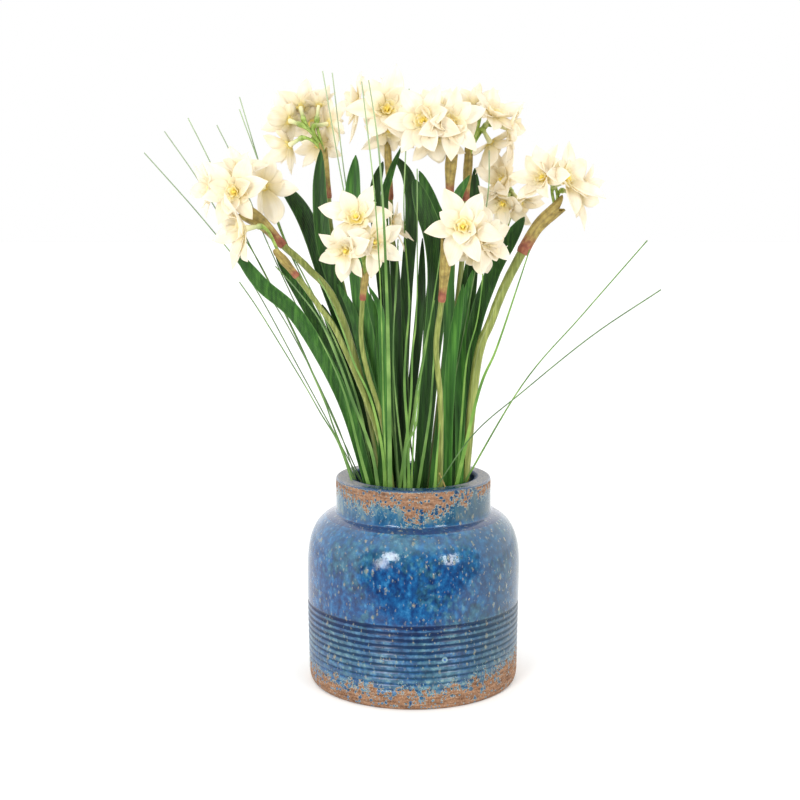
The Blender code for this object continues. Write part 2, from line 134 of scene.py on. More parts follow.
world = bpy.data.worlds.new("white_studio")
world.use_nodes = True
scene.world = world
add = partial(add_node, world.node_tree)
way = add("SeparateXYZ", add("TexCoord").outputs["Generated"])
back = add("Math.MULTIPLY_ADD", way.outputs["X"], SIDE_SKEW, way.outputs["Y"])
sides = add("MapRange", back, *SIDE_EDGE, STUDIO_DIM, STUDIO_WHITE)
ceiling = add("MapRange", way.outputs["Z"], *CEILING_EDGE, 0.0, STUDIO_CEILING)
mirrored = add("Math.MAXIMUM", sides, ceiling)
soft = add("MapRange", way.outputs["Y"], *FRONT_TO_BACK, STUDIO_FILL, STUDIO_BACK)
ray = add("LightPath")
light = add("MixRGB", ray.outputs["Is Glossy Ray"], soft, mirrored)
backdrop = add("MixRGB", ray.outputs["Is Camera Ray"], light, "#FFFFFF")
feed(world.node_tree.nodes["Background"], "Color", backdrop)

# Matt board: nearly white, with a faint mottle 33 cm across that keeps it from looking like a void.
board, add, shader = finish("pale_matt_board", 0.9)
mottle = add("TexNoise", {"Vector": add("TexCoord").outputs["Object"], "Scale": 3.0})
tone = add("ValToRGB", mottle, stops=((0.3, "#F6F6F4"), (0.7, "#FBFBFA")))
feed(shader, "Base Color", tone)
shader.inputs["Specular IOR Level"].default_value = 0.1
floor_middle = (0, FLOOR_SIZE / 2 + FLOOR_FRONT, -FLOOR_DROP)
bpy.ops.mesh.primitive_plane_add(size=FLOOR_SIZE, location=floor_middle)
floor = bpy.context.object
floor.name = "floor"
floor.data.materials.append(board)

for number, (place, size, power) in enumerate(SOFT_BOXES):
    lamp = bpy.data.lights.new(f"soft_box_{number + 1}", "AREA")
    lamp.size = size
    lamp.energy = power
    box = bpy.data.objects.new(lamp.name, lamp)
    box.location = place
    box.rotation_euler = (Vector(place) - Vector(SOFT_BOX_AIM)).to_track_quat("Z", "Y").to_euler()
    scene.collection.objects.link(box)


# Jar. Red stoneware thrown on a wheel: a straight collar on a round shoulder, a straight body with
# twelve turned grooves low down, and a turned foot. It was dipped in a runny blue glaze that broke
# off in islands at the collar and the foot, where the bare clay shows.
JAR_HEIGHT = 135.5
COLLAR_RADIUS = 51.2
COLLAR_FOOT = 112.0
RIM_ROUND = 2.2
LIP_ROUND = 1.6
FILLET_WIDTH = 0.7
FILLET_HEIGHT = 2.5
BODY_RADIUS = 70.0
SHOULDER_WIDTH = 28.2
SHOULDER_HEIGHT = 38.4
SHOULDER_START = 74.3
SHOULDER_POWER = 2.78
TOP_GROOVE = 53.0
GROOVE_SPACING = 4.03
GROOVE_DEPTH = 0.55
BASE_ROUND_WIDTH = 2.4
BASE_ROUND_HEIGHT = 7.0
BODY_TAPER = 0.01
MOUTH_RADIUS = 40.5
INNER_DEPTH = 30.0
JAR_SIDES = 288
THROWN_WOBBLE = 0.25
MILLIMETRE = 0.001


def arc(centre, radii, start, end, count):
    """Points of an ellipse's arc from one angle to another, in degrees from the first axis."""
    turns = np.radians(np.linspace(start, end, count))
    return [(centre[0] + radii[0] * cos(t), centre[1] + radii[1] * sin(t)) for t in turns]


def full_turn(sides):
    """The angles of so many points round a circle."""
    return np.linspace(0, 2 * pi, sides, endpoint=False)


def unit(vectors):
    return vectors / np.linalg.norm(vectors, axis=-1, keepdims=True)


def piece(name, patches, material, stands_for=(), thickness=0.0):
    """One mesh from grids of points, riding on the jar's body and shown in place of the named nodes.

    Each patch is (points, wrap, caps, values): wrap closes its columns into rings, caps fills the
    first and last row, and values are attributes with one number a point. A thickness makes a solid
    of open sheets.
    """
    corners, faces, values = [], [], {}
    start = 0
    for points, wrap, caps, given in patches:
        rows, columns = points.shape[:2]
        index = start + np.arange(rows * columns).reshape(rows, columns)
        here = index if wrap else index[:, :-1]
        after = np.roll(index, -1, axis=1) if wrap else index[:, 1:]
        faces += np.stack([here[:-1], after[:-1], after[1:], here[1:]], axis=-1).reshape(-1, 4).tolist()
        if caps:
            faces += [index[0][::-1].tolist(), index[-1].tolist()]
        corners.append(points.reshape(-1, 3))
        for key, value in given.items():
            values.setdefault(key, []).append(np.broadcast_to(value, (rows, columns)).reshape(-1))
        start += rows * columns
    mesh = bpy.data.meshes.new(name)
    mesh.from_pydata((np.concatenate(corners) * MILLIMETRE).tolist(), [], faces)
    for key, parts in values.items():
        layer = mesh.attributes.new(key, "FLOAT", "POINT")
        layer.data.foreach_set("value", np.concatenate(parts).astype(np.float32))
    bm = bmesh.new()
    bm.from_mesh(mesh)
    bmesh.ops.recalc_face_normals(bm, faces=bm.faces)
    bm.to_mesh(mesh)
    bm.free()
    mesh.shade_smooth()
    mesh.set_sharp_from_angle(angle=radians(60))
    mesh.materials.append(material)
    made = bpy.data.objects.new(name, mesh)
    scene.collection.objects.link(made)
    if thickness:
        solid = made.modifiers.new("thickness", "SOLIDIFY")
        solid.thickness = thickness * MILLIMETRE
        solid.offset = 0.0
    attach(made, "root")
    if stands_for:
        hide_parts(*stands_for)


def shoulder_height(radius):
    share = max(0.0, radius - BODY_RADIUS + SHOULDER_WIDTH) / SHOULDER_WIDTH
    return SHOULDER_START + SHOULDER_HEIGHT * (1 - share ** SHOULDER_POWER) ** (1 / SHOULDER_POWER)


def jar_outline():
    """Radius and height from inside the mouth, over the rim, down the outside and under the base."""
    depth = JAR_HEIGHT - INNER_DEPTH
    outline = [(MOUTH_RADIUS - 4, depth), (MOUTH_RADIUS, depth + 1)]
    outline += [(MOUTH_RADIUS, z) for z in np.linspace(depth + 4, JAR_HEIGHT - 4, 8)]
    outline += arc((MOUTH_RADIUS + LIP_ROUND, JAR_HEIGHT - LIP_ROUND), (LIP_ROUND, LIP_ROUND), 180, 90, 6)
    outline += [(r, JAR_HEIGHT) for r in np.linspace(MOUTH_RADIUS + 3, COLLAR_RADIUS - 3, 4)]
    outline += arc((COLLAR_RADIUS - RIM_ROUND, JAR_HEIGHT - RIM_ROUND), (RIM_ROUND, RIM_ROUND), 90, 0, 7)
    fillet_top = COLLAR_FOOT + FILLET_HEIGHT
    outline += [(COLLAR_RADIUS, z) for z in np.linspace(JAR_HEIGHT - 4, fillet_top + 2, 10)]
    fillet = (COLLAR_RADIUS + FILLET_WIDTH, fillet_top)
    outline += arc(fillet, (FILLET_WIDTH, FILLET_HEIGHT), 180, 270, 5)
    for share in np.sin(np.linspace(0.04, 1, 40) * pi / 2):
        radius = COLLAR_RADIUS + (BODY_RADIUS - COLLAR_RADIUS) * share
        outline.append((radius, shoulder_height(min(radius, BODY_RADIUS))))
    for z in np.linspace(SHOULDER_START - 1, BASE_ROUND_HEIGHT, 112):
        wave = 0.5 + 0.5 * cos(2 * pi * (z - TOP_GROOVE) / GROOVE_SPACING)
        cut = GROOVE_DEPTH * wave ** 2 if z < TOP_GROOVE + GROOVE_SPACING / 2 else 0.0
        outline.append((BODY_RADIUS - BODY_TAPER * (SHOULDER_START - z) - cut, z))
    foot = BODY_RADIUS - BODY_TAPER * SHOULDER_START - BASE_ROUND_WIDTH
    outline += arc((foot, BASE_ROUND_HEIGHT), (BASE_ROUND_WIDTH, BASE_ROUND_HEIGHT), -10, -90, 9)
    outline += [(foot - 3, 0), (foot * 0.5, 0), (foot * 0.05, 0)]
    return np.array(outline)


def jar_patch():
    """The outline turned round, a little out of true, as thrown ware is."""
    outline = jar_outline()
    turns = full_turn(JAR_SIDES)
    height = outline[:, 1:2]
    drift = np.sin(2 * turns + height / 30) + 0.5 * np.sin(3 * turns - height / 17 + 1)
    radius = outline[:, 0:1] + THROWN_WOBBLE * drift * np.clip(height / 20, 0, 1)
    points = np.stack([radius * np.cos(turns), radius * np.sin(turns), height + 0 * turns], axis=-1)
    return points, True, True, {}


def millimetres(add):
    """The place on the object in millimetres, so that a pattern's scale is 1 over its real size."""
    return add("VectorMath.SCALE", {0: add("TexCoord").outputs["Object"], "Scale": 1000.0})


def tint(add, base, colour, by, start, end, most=1.0):
    """Mixes a colour into the base, from none where `by` is at start to `most` where it is at end."""
    return add("MixRGB", add("MapRange", by, start, end, 0.0, most), base, colour)


# Stoneware and glaze: bare sandy clay is rough and grainy. The glaze is a glassy coat in muted
# cobalt and teal that ran downwards. It is navy where it pooled in the grooves, pale where it broke
# to an edge, beaded in drops on the clay, and flecked with crystals. Pattern sizes are in mm.
RUN_WIDTH = 4.5
STREAK_WIDTH = 4.5
GRAIN = 1.1
GRANULE = 2.2
CLOUD = 26.0
STIR = 2.0
STIR_REACH = 2.2
BEAD_SPACING = 2.4
# The dip's edge on the collar, and how much it rises from one x to the next: start, end and rise.
COLLAR_DIP = 117.5
COLLAR_STEPS = ((-4.0, -12.0, 6.0), (-27.0, -33.0, -1.5), (-36.0, -44.0, 4.0),
                (12.0, 17.0, 2.5), (18.0, 24.0, 6.0), (28.0, 38.0, 3.0))
# The glaze's lower edge, which rises to the right in the same way, and how far an edge fades.
FOOT_EDGE = 13.0
FOOT_STEP = (25.0, 68.0, 9.0)
GLAZE_FADE = 8.0
# Tints: where each starts, where it is at its most, and how much that is.
# The first is painted light: the shoulder lightened high up, where it faces the bright ceiling.
SHOULDER_PAINTED_LIGHT = (88.0, 103.0, 0.15)
RIGHT_GREY = (22.0, 56.0, 0.5)
COLLAR_COAT = (COLLAR_FOOT + 1, COLLAR_FOOT + 4, 0.8)
COLLAR_GREEN = (8.0, 34.0, 0.75)
# The burst bubble's middle, and the radii of its ring, half the ring's width, and its pit.
BUBBLE_PLACE = (19.1, -66.9, 32.1)
BUBBLE_RING = 1.4
BUBBLE_HALF_RING = 0.5
BUBBLE_PIT = 0.9
# Flecks, then specks: spacing; luck needed, from 0 to 1; greatest radius in spacings; strength.
FLECKS = ((4.2, 0.1, 0.28, 0.68), (1.9, 0.2, 0.34, 0.5))
# Where a fleck starts to show outside its radius, and where inside it is at its most, in spacings.
FLECK_EDGE = (0.06, -0.12)

glaze, add, shader = finish("runny_blue_glaze_on_stoneware", 0.12)
mm = millimetres(add)
flow = add("VectorMath.MULTIPLY", mm, (1.0, 1.0, 0.45))
slow = add("VectorMath.MULTIPLY", mm, (1.0, 1.0, 0.8))
x, y, z = add("SeparateXYZ", mm).outputs
radius = add("VectorMath.LENGTH", add("VectorMath.MULTIPLY", mm, (1.0, 1.0, 0.0))).outputs["Value"]
runs = add("TexNoise", {"Vector": flow, "Scale": 1 / RUN_WIDTH, "Detail": 4.0, "Roughness": 0.6})
grain = add("TexNoise", {"Vector": mm, "Scale": 1 / GRAIN, "Detail": 3.0, "Roughness": 0.6})
clouds = add("TexNoise", {"Vector": mm, "Scale": 1 / CLOUD, "Detail": 3.0})

# How thick the glaze is: over 0 is glazed, and it grows away from the collar's and the foot's edge.
ragged = add("MapRange", runs, 0.3, 0.7, -0.75, 0.75, clamp=False)
fine = add("MapRange", grain, 0.3, 0.7, -0.5, 0.5, clamp=False)
rough_edge = add("Math.ADD", ragged, fine)
collar = COLLAR_DIP
for start, end, rise in COLLAR_STEPS:
    step = add("MapRange", x, start, end, 0.0, rise)
    collar = add("Math.ADD", collar, step)
from_top = add("Math.SUBTRACT", collar, z)
from_top = add("Math.MULTIPLY_ADD", from_top, 1 / GLAZE_FADE, rough_edge)
foot_start, foot_end, foot_rise = FOOT_STEP
lift = add("MapRange", x, foot_start, foot_end, FOOT_EDGE, FOOT_EDGE + foot_rise)
from_foot = add("Math.SUBTRACT", z, lift)
from_foot = add("Math.MULTIPLY_ADD", from_foot, 1 / GLAZE_FADE, rough_edge)
coat = add("Math.MINIMUM", from_top, from_foot)

# Beads of glaze on the clay: drops 1 to 3 mm across that get rarer and smaller away from the edge.
# Stirring the place they are drawn at makes them uneven.
stir = add("TexNoise", {"Vector": mm, "Scale": 1 / STIR})
stir = add("VectorMath.ADD", stir.outputs["Color"], (-0.5, -0.5, -0.5))
stirred = add("VectorMath.MULTIPLY_ADD", stir, (STIR_REACH,) * 3, mm)
bead = add("TexVoronoi", {"Vector": stirred, "Scale": 1 / BEAD_SPACING})
luck = add("SeparateXYZ", bead.outputs["Color"]).outputs["X"]
reach = add("MapRange", coat, -1.5, 0.0, -0.06, 0.3)
reach = add("Math.MULTIPLY_ADD", luck, 0.5, reach)
drop = add("Math.SUBTRACT", reach, bead.outputs["Distance"])
drop = add("Math.MULTIPLY", drop, 2.5)
coat = add("Math.MAXIMUM", coat, drop)

# The rim is glazed on its flat top, but not at the front, and over its edge and inside the mouth.
on_rim = add("MapRange", radius, COLLAR_RADIUS - 0.6, COLLAR_RADIUS - RIM_ROUND, -0.8, 0.9, clamp=False)
behind = add("MapRange", y, -44.0, -30.0, -1.0, 0.2)
on_rim = add("Math.ADD", add("Math.ADD", on_rim, behind), fine)
over_rim = add("Math.SUBTRACT", radius, z)
corner = COLLAR_RADIUS - JAR_HEIGHT
over_rim = add("MapRange", over_rim, corner + 1.9, corner + 0.1, -0.5, 1.0, clamp=False)
inside = add("MapRange", radius, MOUTH_RADIUS + 3.0, MOUTH_RADIUS + 1.5, -1.0, 1.0)
inside = add("Math.MAXIMUM", over_rim, inside)
inside = add("Math.ADD", inside, fine)
on_rim = add("Math.MAXIMUM", on_rim, inside)
coat = add("Math.MAXIMUM", coat, on_rim)
glazed = add("MapRange", coat, 0.0, 0.08)
full = add("MapRange", coat, 0.04, 0.42)

# Clay: brown to sand, with grit 1 mm across and faint turning lines a millimetre apart.
lines = add("VectorMath.MULTIPLY", mm, (0.08, 0.08, 0.8))
turning = add("TexNoise", {"Vector": lines, "Scale": 1.0})
sand = add("Math.MULTIPLY_ADD", turning, 0.45, add("Math.MULTIPLY", grain, 0.55))
clay = add("ValToRGB", sand, stops=((0.34, "#54392A"), (0.44, "#77563F"), (0.54, "#906C51"),
                                    (0.66, "#AA8A6E")))

# Glaze colour: small mottles of cobalt and azure over streaks, with larger clouds of grey teal.
grains = add("TexVoronoi", {"Vector": slow, "Scale": 1 / GRANULE}, feature="SMOOTH_F1")
grains = add("SeparateXYZ", grains.outputs["Color"])
melt = add("TexNoise", {"Vector": slow, "Scale": 1 / STREAK_WIDTH, "Detail": 5.0, "Roughness": 0.66})
melt = add("Math.MULTIPLY_ADD", grains.outputs["X"], 0.2, melt)
melt = add("Math.ADD", melt, -0.09)
blue = add("ValToRGB", melt, stops=((0.26, "#0A2146"), (0.42, "#0B3564"), (0.52, "#0F4677"),
                                    (0.62, "#195888"), (0.8, "#3A7BA6")))
teal = add("ValToRGB", melt, stops=((0.3, "#122E40"), (0.46, "#1F4A60"), (0.6, "#336274"),
                                    (0.76, "#5E838C")))
teal_here = add("Math.MULTIPLY_ADD", grains.outputs["Y"], 0.35, clouds)
body = tint(add, blue, teal, teal_here, 0.66, 0.84, 0.85)

# Grooves: the glaze pools navy in them and thins to grey turquoise on the ribs, more near the foot.
turn = add("Math.MULTIPLY_ADD", z, 2 * pi / GROOVE_SPACING, -2 * pi * TOP_GROOVE / GROOVE_SPACING)
wave = add("Math.COSINE", turn)
grooved = add("MapRange", z, TOP_GROOVE + 2.2, TOP_GROOVE + 0.8)
low_down = add("MapRange", z, TOP_GROOVE, 18.0)
worn = add("MapRange", clouds, 0.4, 0.6, 0.25, 1.0)
rib = add("MapRange", wave, 0.3, -0.8)
rib_strength = add("MapRange", low_down, 0.0, 0.75, 0.25, 0.95)
for part in (grooved, rib_strength, worn):
    rib = add("Math.MULTIPLY", rib, part)
rib_tone = add("ValToRGB", melt, stops=((0.32, "#214860"), (0.48, "#3C6678"), (0.6, "#5C7E88"),
                                        (0.72, "#8A998C")))
body = add("MixRGB", rib, body, rib_tone)
pool_start = add("MapRange", low_down, 0.0, 1.0, -1.0, 0.3)
pool_start = add("Math.MULTIPLY_ADD", runs, 2.4, pool_start)
pool_start = add("Math.ADD", pool_start, -1.0)
pool_end = add("Math.ADD", pool_start, 0.6)
pool = add("MapRange", wave, pool_start, pool_end, 0.0, 0.85)
pool = add("Math.MULTIPLY", pool, grooved)
pool_tone = add("ValToRGB", low_down, stops=((0.0, "#08163A"), (0.45, "#0D2844"), (1.0, "#193A4C")))
body = add("MixRGB", pool, body, pool_tone)

# Painted light: the glaze is lighter high on the shoulder, a painted reflection of the bright ceiling over
# it. It is also darker and greyer on the right side.
body = tint(add, body, "#3F86A4", z, *SHOULDER_PAINTED_LIGHT)
body = tint(add, body, "#2B454C", x, *RIGHT_GREY)

# One burst bubble among the grooves, 4 mm across: a pale ring round a blue pit.
apart = add("VectorMath.DISTANCE", mm, BUBBLE_PLACE).outputs["Value"]
halo = add("Math.COMPARE", apart, BUBBLE_RING, BUBBLE_HALF_RING)
halo = add("Math.MULTIPLY", halo, 0.6)
body = add("MixRGB", halo, body, "#84A6AE")
pit = add("Math.LESS_THAN", apart, BUBBLE_PIT)
body = add("MixRGB", pit, body, "#12508C")

# A dark line of pooled glaze under the collar, and a paler, greyer, streaked coat on the collar.
under = add("Math.COMPARE", z, COLLAR_FOOT - 1.2, 1.3)
under = add("Math.MULTIPLY", under, 0.65)
body = add("MixRGB", under, body, "#1F2A55")
collar_tone = add("ValToRGB", runs, stops=((0.34, "#173C58"), (0.48, "#2C5C7C"), (0.58, "#52727C"),
                                           (0.7, "#868D80")))
collar_tone = tint(add, collar_tone, "#22404A", x, *COLLAR_GREEN)
body = tint(add, body, collar_tone, z, *COLLAR_COAT)
body = tint(add, body, "#173458", from_top, 0.0, -0.12, 0.8)

# Flecks: straw to grey green crystals that ran downwards, most of them 1 by 2 mm and some twice
# that, with specks half as large between them.
stretched = add("VectorMath.MULTIPLY", stirred, (1.0, 1.0, 0.55))
fleck = 0.0
for spacing, least, most, strength in FLECKS:
    cell = add("TexVoronoi", {"Vector": stretched, "Scale": 1 / spacing})
    luck = add("SeparateXYZ", cell.outputs["Color"]).outputs["X"]
    size = add("MapRange", luck, least, 1.0, -0.02, most)
    spot_here = add("Math.SUBTRACT", cell.outputs["Distance"], size)
    spot_here = add("MapRange", spot_here, *FLECK_EDGE, 0.0, strength)
    fleck = add("Math.MAXIMUM", fleck, spot_here)
fleck_tone = add("ValToRGB", grain, stops=((0.35, "#557A86"), (0.49, "#858A72"), (0.62, "#A08A6A")))
body = add("MixRGB", fleck, body, fleck_tone)

# The rim's flat top: the glaze dried matt and grey there, and stayed blue at the inner edge.
rim_face = add("MapRange", z, JAR_HEIGHT - 1.2, JAR_HEIGHT - 0.2)
rim_in = add("MapRange", radius, MOUTH_RADIUS + 1.4, MOUTH_RADIUS + 2.6)
rim_face = add("Math.MULTIPLY", rim_face, rim_in)
rim_face = add("Math.MULTIPLY", rim_face, add("MapRange", y, -40.0, -30.0))
rim_tone = add("ValToRGB", grain, stops=((0.3, "#3E5878"), (0.38, "#686C76"), (0.5, "#808287"),
                                         (0.6, "#9A958E"), (0.7, "#B09A84")))
body = add("MixRGB", rim_face, body, rim_tone)

# Where the coat breaks it is thin: a pale line at its edge, then teal, then the full colour.
edge_tone = add("ValToRGB", full, stops=((0.0, "#A9BAB0"), (0.35, "#56808C"), (0.8, "#1D4A68")))
edge = add("MapRange", full, 0.2, 1.0, 0.95, 0.0)
body = add("MixRGB", edge, body, edge_tone)
jar_tone = add("MixRGB", glazed, clay, body)
feed(shader, "Base Color", jar_tone)

# The glaze is glossy where it lies open, duller on the rim, in the mouth and among the grooves, and
# the clay is matt. The coat's edge, its flecks and its grain stand up a little.
gloss = add("MapRange", glazed, 0.0, 1.0, 0.88, 0.06)
mouth = add("Math.SUBTRACT", 1.0, rim_in)
for dull, strength in ((rim_face, 0.55), (mouth, 0.5), (grooved, 0.22)):
    gloss = add("Math.MULTIPLY_ADD", dull, strength, gloss)
feed(shader, "Roughness", gloss)
swell = add("Math.MULTIPLY_ADD", glazed, 0.4, fleck)
ripple = add("Math.MULTIPLY_ADD", melt, 0.35, swell)
dim = add("Math.MAXIMUM", pool, mouth)
mirror = add("MapRange", dim, 0.0, 1.0, 0.5, 0.12)
feed(shader, "Specular IOR Level", mirror)
bare = add("MapRange", glazed, 0.0, 1.0, 1.2, 0.08)
coarse = add("Math.MULTIPLY_ADD", grain, bare, ripple)
feed(shader, "Normal", add("Bump", {"Height": coarse, "Strength": 0.6, "Distance": 0.0006}))

piece("glazed_jar", [jar_patch()], glaze, ["jar"])


# Potting mix and moss. The mix is peat and bark that fills the jar and hides under the moss. The
# moss is a mat of dyed dark green fronds with brown bits, tucked in round the stems.
MOSS_TOP = 126.0
MOSS_RADIUS = MOUTH_RADIUS - 0.3
MOSS_LOW = 108.3
MOSS_BUMP = 1.6
FRONDS = 2600
FROND_LENGTH = 5.0
FROND_WIDTH = 0.9
FROND_THICKNESS = 0.15
MOSS_SIDES = 96
MOSS_RINGS = 26
MOSS_SKIRT = 8

# Peat and bark: near black with rust crumbs 3 mm across.
peat, add, shader = finish("peat_and_bark", 0.95)
mm = millimetres(add)
crumbs = add("TexNoise", {"Vector": mm, "Scale": 1 / 3, "Detail": 5.0})
tone = add("ValToRGB", crumbs, stops=((0.35, "#1E1610"), (0.55, "#3A2A1E"), (0.7, "#5E452F")))
feed(shader, "Base Color", tone)
feed(shader, "Normal", add("Bump", {"Height": crumbs, "Strength": 0.8, "Distance": 0.001}))
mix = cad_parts["potting_mix"]
mix.data.materials.clear()
mix.data.materials.append(peat)

# Dyed moss: matt, near black to mid green in tufts 4 mm across, with one frond in six brown.
moss, add, shader = finish("dyed_moss", 0.9)
mm = millimetres(add)
tuft = add("TexNoise", {"Vector": mm, "Scale": 1 / 4, "Detail": 3.0})
green = add("ValToRGB", tuft, stops=((0.35, "#0E1C0C"), (0.5, "#1F3B16"), (0.66, "#3B5E24")))
shade = add("Attribute", attribute_name="tone").outputs["Fac"]
tone = tint(add, green, "#6B4A2B", shade, 0.8, 0.86)
feed(shader, "Base Color", tone)

chance = np.random.default_rng(seed=7)


def moss_patch():
    """The mat: a low uneven dome with a skirt down the jar's wall."""
    turns = full_turn(MOSS_SIDES)
    rows = []
    for share in np.linspace(0.02, 1, MOSS_RINGS):
        bump = MOSS_BUMP * np.sin(3 * turns + 5 * share) * np.cos(2 * turns - 3 * share)
        lumps = 0.9 * np.sin(11 * turns + 23 * share) * np.sin(17 * share + 5 * np.cos(turns))
        rows.append((share * MOSS_RADIUS, MOSS_TOP - 1 + bump + lumps * share))
    rows += [(MOSS_RADIUS, MOSS_TOP - MOSS_SKIRT + 0 * turns), (MOSS_RADIUS, MOSS_LOW + 0 * turns),
             (MOSS_RADIUS * 0.1, MOSS_LOW + 0 * turns)]
    grid = [np.stack([r * np.cos(turns), r * np.sin(turns), h], axis=-1) for r, h in rows]
    return np.array(grid), True, True, {"tone": 0.3}


def frond_patches():
    """Short curved blades that stand up out of the mat in all directions."""
    made = []
    for _ in range(FRONDS):
        around = chance.uniform(0, 2 * pi)
        out = MOSS_RADIUS * sqrt(chance.uniform(0.0, 0.98))
        foot = np.array([out * cos(around), out * sin(around), MOSS_TOP - 1.5])
        lean = chance.normal(0, 0.6, 2)
        length = FROND_LENGTH * chance.uniform(0.5, 1.25)
        rise = np.array([lean[0], lean[1], 1.0])
        rise /= np.linalg.norm(rise)
        side = unit(np.cross(rise, chance.normal(size=3))) * FROND_WIDTH / 2
        t = np.array([0.0, 0.35, 0.7, 1.0])[:, None]
        spine = foot + rise * length * t + np.array([lean[0], lean[1], -0.4]) * 2.2 * t ** 2
        width = np.array([0.7, 1.0, 0.7, 0.1])[:, None]
        reach = np.linalg.norm(spine[:, :2], axis=1, keepdims=True)
        spine[:, :2] *= np.minimum(1, (MOSS_RADIUS - 0.6) / reach)
        rows = np.stack([spine - side * width, spine + side * width], axis=1)
        made.append((rows, False, False, {"tone": chance.uniform()}))
    return made


piece("moss_mat_fine", [moss_patch()], moss, ["moss_mat"])
piece("moss_fronds", frond_patches(), moss, thickness=FROND_THICKNESS)


# Flower stems. Smooth round bulb stems, 3 to 6 mm thick, olive green and faintly ribbed, pushed
# through the moss into the mix. Each ends at the reddish joint of its sheath.
STEM_STEPS = 9
STEM_SIDES = 20
STEM_DEPTH = 14.0

# Each flower: stem radius; route from the moss to the joint, as x, y, z of one point after another;
# and route from there up the sheath to where the stalks part.
STEMS = (
    (2.2, (-19, 1, 126, -33, -3, 196, -50, -10, 250, -67, -16, 272, -82, -18, 286),
     (-95, -20, 300, -106, -22, 307)),
    (1.7, (-17, -12, 126, -24, -16, 169, -47, -22, 228, -60, -25, 249, -73, -27, 267), (-84, -30, 281)),
    (1.6, (-18, 14, 126, -25, 18, 183, -43, 24, 243, -54, 30, 293, -56, 32, 316), (-59, 32, 346)),
    (1.6, (-8, 12, 126, -10, 14, 217, -13, 15, 276, -15, 14, 315), (-17, 13, 350)),
    (2.0, (11, -2, 126, 15, 0, 166, 21, 1, 218, 25, 1, 276, 23, 0, 316), (24, -2, 344)),
    (1.8, (20, 12, 126, 26, 14, 217, 32, 17, 276, 34, 18, 314), (36, 18, 343)),
    (3.0, (33, -5, 126, 41, -6, 210, 50, -6, 238, 58, -6, 259, 69, -6, 281), (79, -7, 298, 91, -8, 309)),
    (1.8, (27, 14, 126, 37, 20, 203, 47, 25, 249, 52, 26, 275), (60, 24, 292)),
    (1.5, (-13, -20, 126, -20, -22, 174, -29, -27, 206, -33, -30, 228, -32, -34, 253), (-30, -38, 269)),
    (1.8, (17, -22, 126, 17, -26, 185, 14, -31, 223, 17, -36, 252), (20, -42, 284)),
)
FRONT = np.array([0.0, -1.0, 0.0])


def smooth(points, steps):
    """Points of a smooth curve through the given ones, which may be flat, with so many steps a span."""
    p = np.reshape(points, (-1, 3)).astype(float)
    p = np.vstack([2 * p[0] - p[1], p, 2 * p[-1] - p[-2]])
    t = np.linspace(0, 1, steps, endpoint=False)[:, None]
    spans = [0.5 * (2 * b + (c - a) * t + (2 * a - 5 * b + 4 * c - d) * t ** 2
                    + (3 * b - a - 3 * c + d) * t ** 3) for a, b, c, d in zip(p, p[1:], p[2:], p[3:])]
    return np.vstack([*spans, p[-2]])


def planted(path, depth):
    """The path with a straight stretch added below its first point."""
    return np.vstack([path[0] + unit(path[0] - path[1]) * depth, path])


def sweep(path, across, out, facing):
    """A grid of points: each row's section, as offsets across and outward, carried along a path."""
    along = unit(np.gradient(path, axis=0))
    side = unit(np.cross(facing, along))
    face = np.cross(along, side)
    return path[:, None] + side[:, None] * across[..., None] + face[:, None] * out[..., None]


def ring(radius, sides):
    """Across and outward offsets of round sections, from radii by row, or by row and column."""
    turns = full_turn(sides)
    radius = np.asarray(radius, float)
    radius = radius if radius.ndim == 2 else radius[:, None]
    return radius * np.cos(turns), radius * np.sin(turns)


def stem_patch(route, radius):
    path = planted(route, STEM_DEPTH)
    v = np.linspace(0, 1, len(path))[:, None]
    turns = full_turn(STEM_SIDES)
    ribs = 1 + 0.035 * np.cos(5 * turns + 0.6 * v) + 0.02 * np.sin(9 * v * 6 + turns)
    return sweep(path, *ring(radius * ribs, STEM_SIDES), FRONT), True, True, {}


# Waxy stem: olive to yellow green in clouds 25 mm long, with streaks 1.2 mm wide and a soft sheen.
stalk, add, shader = finish("waxy_olive_stem", 0.42)
mm = millimetres(add)
fibre = add("VectorMath.MULTIPLY", mm, (1.0, 1.0, 0.06))
streak = add("TexNoise", {"Vector": fibre, "Scale": 1 / 1.2, "Detail": 4.0})
cloud = add("TexNoise", {"Vector": mm, "Scale": 1 / 25})
green = add("ValToRGB", streak, stops=((0.3, "#6C7434"), (0.5, "#868E44"), (0.7, "#A2A95E")))
olive = add("ValToRGB", streak, stops=((0.3, "#5B692A"), (0.5, "#717E38"), (0.7, "#8F9B4E")))
tone = add("MixRGB", cloud, green, olive)
feed(shader, "Base Color", tone)
feed(shader, "Normal", add("Bump", {"Height": streak, "Strength": 0.25, "Distance": 0.0003}))

for number, (radius, route, top) in enumerate(STEMS, 1):
    joint = (len(route) // 3 - 1) * STEM_STEPS
    path = smooth(route + top, STEM_STEPS)[:joint + 1]
    name = f"flower_stem_{number:02d}"
    piece(name + "_fine", [stem_patch(path, radius)], stalk, [name])


# Sheaths. The papery bract that wrapped the bud: brown and ribbed, it swells above a reddish joint,
# splits at its mouth into one long and one short flap, and the stalks of the florets come out of it.
SHEATH_STEPS = 16
SHEATH_SIDES = 36
JOINT_SHARE = 1.3
SHEATH_WALL = 0.5
# For each flower: widest radius in stem radii; flap length; and degrees round to the long flap.
SHEATH_SHAPES = ((2.5, 9, 200), (1.9, 5, 90), (1.7, 7, 30), (1.7, 6, 250), (2.2, 6, 120),
                 (1.9, 6, 60), (1.6, 8, 30), (1.8, 5, 0), (1.9, 6, 300), (2.2, 10, 330))

